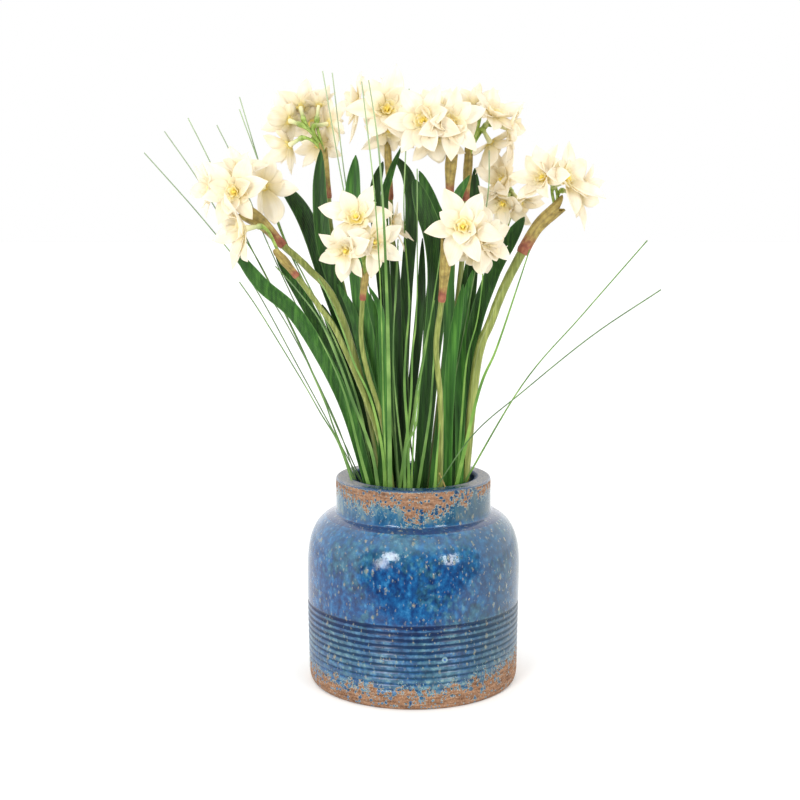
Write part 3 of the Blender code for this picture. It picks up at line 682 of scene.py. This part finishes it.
# Dried bract: olive tan paper in blots of 3.5 mm, with dark ribs, and rust red on its lowest quarter.
papery, add, shader = finish("dried_papery_bract", 0.6)
mm = millimetres(add)
cloud = add("TexNoise", {"Vector": mm, "Scale": 1 / 3.5, "Detail": 4.0})
around = add("Attribute", attribute_name="across").outputs["Fac"]
up = add("Attribute", attribute_name="along").outputs["Fac"]
wobble = add("Math.MULTIPLY_ADD", cloud, 3.0, add("Math.MULTIPLY", around, 17.0))
veins = add("Math.SINE", wobble)
paper = add("ValToRGB", cloud, stops=((0.3, "#746632"), (0.5, "#978341"), (0.7, "#AE9E57")))
paper = tint(add, paper, "#5C4A20", veins, 0.2, 1.0, 0.35)
low = add("Math.MULTIPLY_ADD", cloud, 0.25, up)
rust = add("ValToRGB", cloud, stops=((0.3, "#7A3A2C"), (0.5, "#94503C"), (0.7, "#A87250")))
tone = tint(add, paper, rust, low, 0.46, 0.26, 0.92)
feed(shader, "Base Color", tone)
feed(shader, "Normal", add("Bump", {"Height": wobble, "Strength": 0.3, "Distance": 0.0002}))


def sheath_patch(path, radius, widest, flap, side):
    """The outer wall up to the mouth, the flaps, and the inner wall back down."""
    rows = len(path)
    v = np.linspace(0, 1, rows)
    shape = np.interp(v, (0, 0.05, 0.14, 0.4, 0.75, 1),
                      (JOINT_SHARE * 0.9, JOINT_SHARE * 1.06, JOINT_SHARE,
                       1 + 0.45 * (widest - 1), 1 + 0.85 * (widest - 1), widest))
    turns = full_turn(SHEATH_SIDES)
    ribs = 1 + 0.05 * np.sin(7 * turns + 3 * v[:, None]) * v[:, None] + 0.03 * np.sin(13 * turns)
    away = turns - radians(side)
    lobe = np.clip(np.cos(away), 0, 1) ** 2 + 0.45 * np.clip(-np.cos(away), 0, 1) ** 3
    spread = np.clip((v - 0.62) / 0.38, 0, 1)[:, None] ** 1.5
    outer = radius * shape[:, None] * ribs * (1 - 0.35 * spread * (1 - lobe) + 0.2 * spread * lobe)
    inner = outer - SHEATH_WALL
    along = unit(np.gradient(path, axis=0))
    lift = (spread * lobe * flap)[..., None] * along[:, None]
    outside = sweep(path, *ring(outer, SHEATH_SIDES), FRONT) + lift
    inside = (sweep(path, *ring(inner, SHEATH_SIDES), FRONT) + lift)[rows // 2:][::-1]
    up = np.concatenate([v, v[rows // 2:][::-1]])[:, None]
    return np.vstack([outside, inside]), True, True, {"along": up, "across": turns / 2}


for number, ((radius, route, top), shape) in enumerate(zip(STEMS, SHEATH_SHAPES), 1):
    joint = (len(route) // 3 - 1) * STEM_STEPS
    path = smooth(route + top, STEM_STEPS)[joint:]
    path = smooth(path[::3], ceil(SHEATH_STEPS * 3 / len(path)))
    name = f"spathe_{number:02d}"
    piece(name + "_fine", [sheath_patch(path, radius, *shape)], papery, [name])


# Umbels. From each sheath come short green stalks, each with a small ovary and a double floret: six
# thin pointed petals, two rings of rounder cupped ones inside, and a frilled cup full of yellow folds.
PETAL_ROWS = 12
PETAL_COLUMNS = 11
PETAL_THICKNESS = 0.25
TUBE_LENGTH = 9.0
TUBE_RADIUS = 1.9
OVARY_RADIUS = 1.9
STALK_RADIUS = 1.0
HUB_DEPTH = 5.0

# For each flower, its floret's radius and its florets: centre x, y, z, then where each faces, in
# degrees round from the front, positive to the right, and degrees up; its roll in degrees; how far
# it has opened, from 0, a half-shut bell, to 1, flat; and its size.
UMBELS = (
    (19, ((-110, -36, 319, -8, 8, 10, 0.65, 1.0), (-108, -22, 330, 10, 50, 40, 0.55, 0.9),
          (-125, -26, 322, -65, 5, 20, 0.4, 0.85), (-95, -10, 323, 140, 12, 0, 0.8, 1.05))),
    (17, ((-104, -38, 297, -58, -8, 15, 0.42, 1.25),)),
    (17, ((-82, 40, 367, -135, 15, 0, 0.55, 1.0), (-75, 46, 376, -165, 45, 25, 0.6, 0.95),
          (-63, 44, 377, 170, 60, 0, 0.2, 0.7), (-57, 40, 365, 125, 8, 10, 0.6, 0.9),
          (-82, 36, 351, -120, -25, 30, 0.55, 1.0), (-64, 50, 352, 165, -20, 0, 0.6, 0.95),
          (-68, 54, 366, -175, 25, 15, 0.7, 1.0))),
    (19, ((-17, 0, 371, 0, 18, 10, 0.75, 1.15), (-35, 12, 376, -78, 8, 20, 0.9, 1.0),
          (-9, 16, 375, 75, 25, 0, 0.6, 0.9), (-16, 8, 360, 5, -45, 20, 0.6, 0.95))),
    (19, ((6, -18, 363, -18, 6, 0, 0.75, 1.05), (22, -16, 362, 16, 4, 25, 0.75, 1.05),
          (14, -2, 371, 0, 55, 0, 0.6, 0.85), (13, -9, 354, -10, -40, 30, 0.6, 0.9))),
    (18, ((51, 12, 369, 35, 40, 0, 0.7, 0.95), (61, 18, 361, 80, -15, 0, 0.7, 1.0),
          (39, 28, 374, -160, 30, 20, 0.7, 0.95), (50, 22, 352, 130, -50, 0, 0.5, 1.0))),
    (20, ((95, -16, 327, 50, 25, 10, 0.75, 1.05), (81, -18, 328, -45, 20, 0, 0.55, 0.95),
          (103, -4, 319, 110, -10, 20, 0.6, 0.95))),
    (18, ((58, 22, 327, -35, 25, 0, 0.65, 1.0), (59, 20, 313, -25, -30, 20, 0.6, 1.0),
          (70, 26, 314, 50, -45, 0, 0.4, 0.85))),
    (19, ((-35, -46, 303, -12, 30, 0, 0.85, 1.05), (-25, -54, 289, 22, 0, 20, 0.75, 0.85),
          (-41, -54, 284, -28, -15, 15, 0.75, 0.85), (-14, -24, 298, 80, 20, 0, 0.4, 0.75))),
    (20, ((29, -56, 298, -5, 10, 0, 0.9, 0.95), (42, -46, 292, 42, 2, 20, 0.7, 0.9),
          (39, -41, 284, 15, -50, 0, 0.6, 0.9))),
)

# Soft cream petals: thin silky cloth that lets half the light through, in clouds of 9 mm; fine veins
# run to the tip, the foot is straw yellow, and the folds of the cup are lemon yellow.
cream, add, shader = finish("cream_petal", 0.6)
mm = millimetres(add)
cloud = add("TexNoise", {"Vector": mm, "Scale": 1 / 9, "Detail": 3.0})
along, across, heart = (add("Attribute", attribute_name=key).outputs["Fac"]
                        for key in ("along", "across", "heart"))
petal = add("ValToRGB", cloud, stops=((0.3, "#F8F0DC"), (0.5, "#FBF5E7"), (0.7, "#FEFAF0")))
spread = add("Math.MULTIPLY_ADD", cloud, 2.0, add("Math.MULTIPLY", across, 24.0))
veins = add("Math.SINE", spread)
petal = tint(add, petal, "#F0E3C6", veins, 0.4, 1.0, 0.16)
petal = tint(add, petal, "#F6E9B0", along, 0.42, 0.0, 0.7)
yolk = add("ValToRGB", along, stops=((0.1, "#FFEE7C"), (0.55, "#FFF4A4"), (0.95, "#FFFADA")))
petal = add("MixRGB", heart, petal, yolk)
feed(shader, "Base Color", petal)
shader.inputs["Specular IOR Level"].default_value = 0.25
feed(shader, "Normal", add("Bump", {"Height": spread, "Strength": 0.1, "Distance": 0.0002}))
through = add("BsdfTranslucent", {"Color": petal})
both = add("MixShader", 0.5, shader, through)
feed(cream.node_tree.nodes["Material Output"], "Surface", both)

# Fresh stalks: bright green in blots of 2.5 mm, a little glossy, fading to cream along the tube.
fresh, add, shader = finish("fresh_green_stalk", 0.4)
cream_share = add("Attribute", attribute_name="cream").outputs["Fac"]
mm = millimetres(add)
cloud = add("TexNoise", {"Vector": mm, "Scale": 1 / 2.5, "Detail": 3.0})
green = add("ValToRGB", cloud, stops=((0.3, "#68802F"), (0.5, "#86A040"), (0.7, "#A6BC64")))
tone = add("MixRGB", cream_share, green, "#F0EBC0")
feed(shader, "Base Color", tone)

# Pollen: lemon yellow, matt, with dust of half a millimetre.
pollen, add, shader = finish("yellow_pollen", 0.8)
mm = millimetres(add)
dust = add("TexNoise", {"Vector": mm, "Scale": 1 / 0.5})
tone = add("ValToRGB", dust, stops=((0.35, "#FBE25C"), (0.65, "#FFF08A")))
feed(shader, "Base Color", tone)


def petal_grid(length, width, root, lift, curl, cup, twist, point):
    """A petal as radial, sideways and forward distances. Lift is its slope at the foot and curl how
    much that changes by the tip, in radians; cup raises its edges, twist turns it about its midrib,
    and point sharpens its tip from 0.4, round, to 1.1, drawn out."""
    v = np.linspace(0, 1, PETAL_ROWS)[:, None]
    u = np.linspace(-1, 1, PETAL_COLUMNS)[None, :]
    slope = lift + curl * v ** 1.5
    step = length / (PETAL_ROWS - 1)
    out = root + np.cumsum(np.cos(slope), axis=0) * step
    rise = np.cumsum(np.sin(slope), axis=0) * step
    power = 0.5 + (point - 0.5) * v
    shape = np.maximum(np.sin(pi * v ** 0.85) ** power, 0.36 * (1 - v) ** 1.2)
    half = np.maximum(width / 2 * shape, 0.1)
    ruffle = 0.12 * np.sin(6 * v + 40 * cup) * np.abs(u) ** 2 + 0.04 * np.sin(11 * v + 90 * twist) * u
    crease = 0.14 * np.exp(-(u / 0.2) ** 2)
    depth = half * (cup * u ** 2 + twist * u * v + ruffle * v - crease)
    side = half * u + twist * 0.35 * width * v ** 2
    return out - np.sin(slope) * depth, side, rise + np.cos(slope) * depth, v, u


def placed(grid, basis, centre, turn):
    """A petal's grid turned round the floret's axis and set in place."""
    out, side, rise = grid[:3]
    x = out * cos(turn) - side * sin(turn)
    y = out * sin(turn) + side * cos(turn)
    return centre + x[..., None] * basis[0] + y[..., None] * basis[1] + rise[..., None] * basis[2]


def floret_basis(around, up):
    """Right, up and facing directions of a floret."""
    around, up = radians(around), radians(up)
    facing = np.array([sin(around) * cos(up), -cos(around) * cos(up), sin(up)])
    right = unit(np.cross((0, 0, 1.0), facing) if abs(facing[2]) < 0.98 else np.array([-1.0, 0, 0]))
    return np.array([right, np.cross(facing, right), facing])


def floret_patches(centre, basis, radius, roll, opened):
    """Two outer whorls of three petals, three rings of smaller ones inside them, and the cup."""
    made = []
    # Of each ring: petals; first place in degrees; length, width and foot in radii; lift; curl; cup;
    # point; and share of yellow.
    rings = (
        (3, 0, 1.14, 0.64, 0.05, 0.80 - 0.80 * opened, -0.30, 0.16, 1.0, 0.0),
        (3, 60, 1.08, 0.58, 0.07, 0.92 - 0.75 * opened, -0.20, 0.20, 0.95, 0.0),
        (3, 25, 0.74, 0.56, 0.10, 0.90 - 0.45 * opened, -0.15, 0.30, 0.8, 0.06),
        (3, 75, 0.46, 0.48, 0.18, 0.95 - 0.3 * opened, 0.15, 0.42, 0.55, 0.2),
        (5, 10, 0.20, 0.17, 0.03, 0.60, 0.30, 0.50, 0.42, 1.0),
    )
    for count, first, length, width, root, lift, curl, cup, point, share in rings:
        for i in range(count):
            turn = radians(first + roll + i * 360 / count + chance.normal(0, 9))
            size = radius * chance.uniform(0.88, 1.08)
            grid = petal_grid(size * length, size * width * chance.uniform(0.9, 1.1), radius * root,
                              lift + chance.normal(0, 0.15), curl + chance.normal(0, 0.28),
                              cup + chance.normal(0, 0.1), chance.normal(0, 0.28), point)
            values = {"along": grid[3], "across": grid[4], "heart": share * (1 - 0.5 * grid[3])}
            made.append((placed(grid, basis, centre, turn), False, False, values))
    turns = full_turn(40)
    v = np.linspace(0, 1, 7)[:, None]
    frill = 1 + v ** 2 * (0.10 * np.sin(5 * turns + roll) + 0.06 * np.sin(12 * turns))
    wall = radius * (0.05 + 0.24 * v ** 0.6) * frill
    rise = radius * (0.02 + 0.14 * v ** 1.6) + 0.5 * v * np.sin(4 * turns + roll)
    grid = (wall * np.cos(turns), wall * np.sin(turns), rise)
    made.append((placed(grid, basis, centre, 0.0), True, False, {"along": v, "across": 0.0, "heart": 0.75}))
    return made


def stalk_patch(hub, centre, basis, along, radius):
    """A stalk from the sheath's mouth to the floret: thin, then the ovary, then the widening tube."""
    back = centre - basis[2] * TUBE_LENGTH
    reach = np.linalg.norm(back - hub)
    t = np.linspace(0, 1, 12)[:, None]
    bend_a, bend_b = hub + along * reach * 0.4, back - basis[2] * reach * 0.35
    path = (hub * (1 - t) ** 3 + 3 * bend_a * t * (1 - t) ** 2 + 3 * bend_b * t ** 2 * (1 - t)
            + back * t ** 3)
    tube = back + (centre - back) * np.linspace(0.12, 1, 8)[:, None]
    path = np.vstack([path, tube])
    size = np.concatenate([np.full(9, STALK_RADIUS), (1.3, OVARY_RADIUS, OVARY_RADIUS),
                           np.linspace(1.25, TUBE_RADIUS * radius / 18, 8)])
    green = np.concatenate([np.zeros(11), np.linspace(0.25, 1, 9)])[:, None]
    span = unit(path[-1] - path[0])
    facing = FRONT if abs(span[1]) < 0.8 else np.array([0.0, 0.0, 1.0])
    return sweep(path, *ring(size, 10), facing), True, True, {"cream": green}


def anther_patches(centre, basis, radius):
    """Small pollen sacs in the cup."""
    made = []
    for i in range(3):
        turn = 2 * pi * i / 3 + chance.uniform(0, 1)
        lean = (basis[0] * cos(turn) + basis[1] * sin(turn)) * radius * 0.03
        path = centre + lean + basis[2] * radius * np.array([0.0, 0.07, 0.15, 0.19])[:, None]
        section = ring((0.4, 0.6, 0.55, 0.2), 8)
        made.append((sweep(path, *section, basis[0] + 0.3 * basis[1]), True, True, {}))
    return made


for number, ((radius, florets), (_, route, top)) in enumerate(zip(UMBELS, STEMS), 1):
    path = smooth(route + top, STEM_STEPS)
    along = unit(path[-1] - path[-3])
    hub = path[-1] - along * HUB_DEPTH
    petals, stalks, anthers = [], [], []
    for x, y, height, around, up, roll, opened, size in florets:
        centre = np.array([x, y, height], float)
        basis = floret_basis(around, up)
        petals += floret_patches(centre, basis, radius * size, roll, opened)
        stalks.append(stalk_patch(hub, centre, basis, along, radius * size))
        anthers += anther_patches(centre, basis, radius * size)
    name = f"umbel_{number:02d}"
    piece(name + "_petals", petals, cream, [name], thickness=PETAL_THICKNESS)
    piece(name + "_stalks", stalks, fresh, [name])
    piece(name + "_anthers", anthers, pollen, [name])


# Strap leaves. Long flat bulb leaves, 5 to 13 mm wide, channelled along the middle, with veins that
# run their whole length and a paler edge. They stand among the stems with their feet in the moss.
LEAF_STEPS = 9
LEAF_COLUMNS = 9
LEAF_THICKNESS = 0.7
LEAF_CHANNEL = 0.16
LEAF_DEPTH = 12.0

# Each leaf: greatest width; degrees that its face is turned from the front; tone, painted shade and light,
# from 0, shaded deep in the bundle, to 1, lit; and its route from the moss to the tip, written as the
# stems' are.
LEAVES = (
    (9.5, 10, 0.45, (-27, -13, 126, -45, -16, 188, -72, -19, 239, -96, -21, 262, -113, -22, 284)),
    (8, 0, 0.3, (-27, 3, 126, -45, 1, 198, -70, 0, 249, -89, 0, 280)),
    (13, -10, 0.1, (-24, 19, 126, -39, 18, 210, -57, 17, 265, -71, 16, 304, -88, 14, 328)),
    (10, 5, 0.2, (-20, 8, 126, -34, 8, 198, -48, 9, 250, -58, 10, 286, -61, 12, 321, -60, 12, 347)),
    (11, 0, 0.6, (-16, -6, 126, -25, -5, 193, -35, -2, 257, -39, 0, 312, -37, 0, 343)),
    (8, 20, 0.1, (-13, 22, 126, -18, 24, 229, -24, 27, 295, -25, 28, 322, -20, 29, 340)),
    (6, 30, 0.2, (-9, 3, 126, -13, 5, 191, -17, 6, 250, -19, 5, 310, -15, 2, 331, -8, -2, 348)),
    (9, -20, 0.1, (-7, 26, 126, -7, 28, 188, -5, 31, 249, -1, 35, 305, -3, 38, 329, -12, 40, 344)),
    (11, 15, 0.3, (5, 20, 126, 8, 22, 182, 15, 25, 229, 18, 28, 289, 12, 30, 312, 4, 31, 334)),
    (13, 0, 0.15, (4, -7, 126, 10, -6, 199, 15, -6, 258, 13, -7, 289, 6, -7, 311, 0, -7, 328)),
    (8, -10, 0.1, (27, 22, 126, 32, 25, 196, 39, 31, 262, 41, 36, 315, 41, 38, 336)),
    (8, -30, 0.55, (12, -12, 126, 22, -12, 219, 22, -12, 277, 26, -12, 312, 35, -12, 330)),
    (10, 10, 0.35, (31, 4, 126, 38, 6, 221, 50, 8, 264, 62, 10, 288, 72, 10, 304)),
    (8, 20, 0.5, (-21, -19, 126, -19, -17, 181, -21, -18, 227, -30, -20, 258)),
    (7.5, -10, 0.85, (22, -16, 126, 22, -18, 181, 25, -19, 223, 31, -21, 262)),
)


def leaf_patch(width, degrees, tone, route):
    path = planted(smooth(route, LEAF_STEPS), LEAF_DEPTH)
    rows = len(path)
    v = np.linspace(0, 1, rows)[:, None]
    turn = radians(degrees) + 0.35 * np.sin(2.5 * v[:, 0] + degrees) * v[:, 0]
    facing = np.stack([np.sin(turn), -np.cos(turn), 0 * turn], axis=-1)
    tip = np.sqrt(np.clip(1 - (np.clip(v - 0.70, 0, 1) / 0.301) ** 2, 0, 1)) ** 1.3
    half = np.maximum(width / 2 * (0.7 + 0.3 * np.minimum(1, v / 0.4)) * tip, 0.3)
    u = np.linspace(-1, 1, LEAF_COLUMNS)
    u = np.concatenate([u, u[::-1]])
    face = np.repeat((1.0, -1.0), LEAF_COLUMNS)
    body = LEAF_THICKNESS / 2 * np.sqrt(np.clip(1 - 0.9 * u ** 2, 0, 1)) * face
    channel = -LEAF_CHANNEL * 2 * half * (1 - np.abs(u) ** 1.5)
    values = {"across": u, "tone": tone}
    return sweep(path, half * u, channel + body, facing), True, True, values


# Strap leaf: mid green with a satin skin, painted from a shaded dark copy to a lit copy by each leaf's
# tone, in streaks 1.6 mm wide and clouds of 40 mm, with fine veins and lighter edges.
strap, add, shader = finish("satin_strap_leaf", 0.45)
shader.inputs["Specular IOR Level"].default_value = 0.3
mm = millimetres(add)
fibre = add("VectorMath.MULTIPLY", mm, (1.0, 1.0, 0.05))
streak = add("TexNoise", {"Vector": fibre, "Scale": 1 / 1.6, "Detail": 4.0})
cloud = add("TexNoise", {"Vector": mm, "Scale": 1 / 40})
across = add("Attribute", attribute_name="across").outputs["Fac"]
tone_here = add("Attribute", attribute_name="tone").outputs["Fac"]
# Painted shade and light: a shaded and a lit copy of the leaf green, mixed by each leaf's tone and by
# clouds.
shaded_leaf_green = add("ValToRGB", streak, stops=((0.3, "#0F2008"), (0.5, "#17320C"), (0.7, "#274E15")))
lit = add("ValToRGB", streak, stops=((0.3, "#235016"), (0.5, "#32691E"), (0.7, "#50882F")))
share = add("Math.MULTIPLY_ADD", cloud, 0.5, tone_here)
share = add("Math.ADD", share, -0.2, use_clamp=True)
leaf = add("MixRGB", share, shaded_leaf_green, lit)
veins = add("Math.SINE", add("Math.MULTIPLY", across, 30.0))
leaf = tint(add, leaf, "#3D6B2A", veins, 0.3, 1.0, 0.22)
leaf = tint(add, leaf, "#5A8540", add("Math.ABSOLUTE", across), 0.86, 1.0, 0.6)
feed(shader, "Base Color", leaf)
feed(shader, "Normal", add("Bump", {"Height": veins, "Strength": 0.35, "Distance": 0.0002}))

for number, row in enumerate(LEAVES, 1):
    name = f"leaf_{number:02d}"
    piece(name + "_fine", [leaf_patch(*row)], strap, [name])

# Leaves beyond the CAD's fifteen, which fill the middle of the bundle; the same columns as above, and those
# deep inside have tone 0, the full painted shade.
MORE_LEAVES = (
    (4.8, -15, 0.75, (-18, -26, 126, -18, -26, 170, -19, -25, 199, -20, -24, 224, -21, -22, 245,
                      -28, -18, 260)),
    (6.2, 10, 0.45, (-17, -20, 126, -18, -16, 154, -25, -12, 187, -31, -10, 210, -39, -6, 242,
                     -49, -2, 261)),
    (8, 0, 0.0, (-25, 4, 126, -31, 5, 165, -40, 8, 198, -50, 10, 224, -60, 12, 247)),
    (7, 0, 0.0, (-8, 8, 126, -9, 9, 164, -10, 10, 204, -11, 10, 237, -12, 12, 268, -15, 16, 299)),
    (7, 20, 0.0, (-6, 10, 126, -4, 12, 163, -1, 13, 190, 2, 14, 217, 5, 16, 250, 6, 20, 290)),
    (7.5, 0, 0.0, (11, 10, 126, 9, 12, 157, 9, 14, 190, 10, 16, 223, 12, 18, 256, 16, 22, 289)),
    (7.2, 10, 0.85, (30, -10, 126, 30, -10, 167, 30, -9, 196, 30, -8, 222, 33, -6, 248, 38, -2, 270)),
    (5, -10, 0.2, (25, -2, 126, 27, -1, 166, 29, 0, 205, 31, 2, 244, 35, 6, 279)),
)
piece("more_leaves", [leaf_patch(*row) for row in MORE_LEAVES], strap)


# Grass. Channelled blades, 0.8 to 3.4 mm wide, that thin out towards the tip and fan out through
# the leaves; a few are grey green and as thin as a wire.
GRASS_STEPS = 8
GRASS_DEPTH = 10.0
GRASS_LEAST = 0.38
# Painted light: the heights over which blades are lightened towards the top, and how much.
TIP_PAINTED_LIGHT = (290.0, 390.0, 0.6)

# Each blade: width; tone, from 0, grey green, to 1, bright; and its route, written as the stems' are.
GRASS = (
    (1.0, 0.2, (-32, -1, 126, -73, 1, 203, -106, 6, 263, -136, 9, 302, -174, 12, 345)),
    (1.0, 0.3, (-31, -8, 126, -58, -9, 188, -79, -9, 236, -105, -7, 287, -130, -4, 340, -143, -2, 366)),
    (0.9, 0.2, (-29, 13, 126, -52, 20, 190, -76, 26, 241, -98, 30, 289, -118, 34, 339, -130, 36, 364)),
    (1.6, 0.6, (-26, 9, 126, -45, 8, 198, -71, 6, 260, -82, 5, 287, -92, 5, 310)),
    (1.2, 0.5, (-9, -14, 126, -16, -12, 187, -30, -13, 251, -43, -13, 314, -57, -12, 394)),
    (1.2, 0.4, (-8, -6, 126, -17, 1, 185, -27, 4, 250, -42, 7, 314, -52, 8, 395)),
    (3.4, 0.6, (-15, -32, 126, -16, -44, 219, -17, -60, 266, -19, -68, 314, -22, -70, 350, -27, -70, 383)),
    (1.5, 0.8, (-17, -26, 126, -19, -31, 178, -20, -46, 236, -21, -62, 272, -24, -70, 320, -31, -71, 382)),
    (1.6, 0.7, (29, -14, 126, 68, -30, 199, 104, -38, 244, 142, -44, 290)),
    (0.8, 0.1, (9, -34, 126, 36, -44, 169, 67, -50, 198, 108, -56, 233, 148, -60, 261)),
    (3.0, 1.0, (26, -22, 126, 41, -26, 194, 52, -27, 222, 66, -27, 265, 72, -27, 284)),
    (1.8, 0.8, (-2, -27, 126, 1, -27, 180, 8, -26, 225, 14, -26, 265)),
)


def blade_patch(width, tone, route):
    path = planted(smooth(route, GRASS_STEPS), GRASS_DEPTH)
    v = np.linspace(0, 1, len(path))[:, None]
    half = np.maximum(width / 2 * (1 - 0.82 * v ** 0.6), GRASS_LEAST)
    u = np.array((-1.0, -0.5, 0.0, 0.5, 1.0, 0.5, 0.0, -0.5))
    face = np.array((0.0, 0.10, 0.0, 0.10, 0.0, -0.4, -0.65, -0.4))
    values = {"along": v, "across": u, "tone": tone}
    return sweep(path, half * u, half * face + 0 * v, FRONT), True, True, values


# Grass blade: bright to grey green, satin, in clouds of 18 mm, and painted lighter towards the top, a
# painted wash of light over the thin tips against the bright white.
reed, add, shader = finish("satin_grass_blade", 0.45)
mm = millimetres(add)
cloud = add("TexNoise", {"Vector": mm, "Scale": 1 / 18, "Detail": 3.0})
tone_here = add("Attribute", attribute_name="tone").outputs["Fac"]
grey = add("ValToRGB", cloud, stops=((0.3, "#35502C"), (0.5, "#4A683C"), (0.7, "#6B8658")))
bright = add("ValToRGB", cloud, stops=((0.3, "#4A7428"), (0.5, "#628C34"), (0.7, "#86AA4C")))
blade = add("MixRGB", tone_here, grey, bright)
height = add("SeparateXYZ", mm).outputs["Z"]
# Painted light: blades washed paler towards their tips.
blade = tint(add, blade, "#B4BFA2", height, *TIP_PAINTED_LIGHT)
feed(shader, "Base Color", blade)

for number, row in enumerate(GRASS, 1):
    name = f"grass_{number:02d}"
    piece(name + "_fine", [blade_patch(*row)], reed, [name])

# Blades beyond the CAD's twelve; the same columns as above.
MORE_GRASS = (
    (2.6, 1.0, (-18, -29, 126, -20, -29, 157, -27, -28, 189, -38, -26, 213, -45, -23, 233, -55, -19, 256,
                -63, -15, 269)),
    (3.0, 0.6, (-22, -25, 126, -27, -25, 156, -39, -25, 189, -47, -23, 211, -59, -20, 238, -74, -16, 258,
                -88, -12, 273)),
    (3.0, 0.75, (-27, -23, 126, -35, -23, 156, -43, -23, 189, -51, -21, 210, -61, -18, 230)),
    (1.6, 0.5, (-35, -14, 126, -51, -14, 168, -58, -14, 188, -79, -10, 235, -98, -8, 274, -113, -6, 298)),
    (1.6, 0.5, (-37, -18, 126, -48, -18, 159, -60, -18, 180, -72, -16, 201, -98, -14, 244,
                -111, -12, 263)),
    (1.8, 0.55, (-4, -25, 126, -9, -25, 167, -12, -24, 196, -13, -23, 219, -12, -20, 252, -10, -16, 290)),
    (2.5, 0.85, (-3, -28, 126, -4, -29, 168, -6, -29, 199, -5, -28, 224, -3, -27, 253, -6, -22, 297,
                 -6, -16, 327, -3, -4, 384)),
    (2.4, 0.8, (-10, -26, 126, -6, -27, 155, -2, -27, 189, -1, -27, 219, 1, -26, 236, 2, -25, 259,
                2, -21, 290, 2, -14, 334)),
    (2.6, 0.65, (-9, -22, 126, -1, -23, 173, 2, -23, 196, 5, -23, 211, 10, -22, 238, 14, -20, 263,
                 18, -16, 290)),
    (2.6, 0.7, (2, -20, 126, 10, -20, 177, 12, -19, 202, 14, -17, 233, 17, -14, 258)),
    (2.6, 1.0, (13, -30, 126, 15, -29, 157, 17, -26, 179)),
    (2.0, 1.0, (28, -10, 126, 31, -12, 174, 34, -14, 213, 40, -15, 237, 43, -15, 259, 44, -14, 276)),
    (0.9, 0.3, (12, -12, 126, 24, -10, 187, 36, -6, 251, 47, -2, 315, 48, 0, 346)),
    (2.0, 0.7, (-6, -30, 126, -5, -30, 158, 1, -28, 172, 3, -26, 189, 5, -24, 212, 8, -22, 229,
                13, -20, 252)),
    (1.4, 0.5, (-9, -18, 126, -13, -18, 188, -13, -18, 229, -11, -16, 258, -10, -14, 286)),
    (2.0, 0.6, (-26, -12, 126, -33, -12, 174, -44, -10, 210, -58, -6, 241, -71, -2, 267, -82, 4, 287,
                -93, 12, 317, -98, 15, 332, -113, 20, 373)),
    (1.7, 0.5, (-28, -10, 126, -36, -10, 174, -47, -8, 209, -60, -4, 241, -73, 0, 267, -83, 6, 287,
                -95, 14, 317, -100, 17, 337, -113, 22, 381)),
    (0.8, 0.1, (-35, -8, 126, -51, -6, 173, -80, 0, 231, -113, 8, 283, -139, 16, 326, -162, 20, 359)),
    (1.8, 0.5, (3, 8, 126, -2, 8, 157, -3, 8, 184, -4, 10, 217, -2, 12, 250)),
    (1.6, 0.3, (20, 6, 126, 24, 6, 171, 28, 6, 211, 32, 8, 244)),
)
piece("more_grass", [blade_patch(*row) for row in MORE_GRASS], reed)

# One short blade by the right stem dried to straw, the colour of the sheaths.
DRY_BLADE = (2.6, 0.5, (23, -33, 124, 21, -34, 130, 19, -35, 137, 16, -35, 144))
piece("dry_blade", [blade_patch(*DRY_BLADE)], papery)
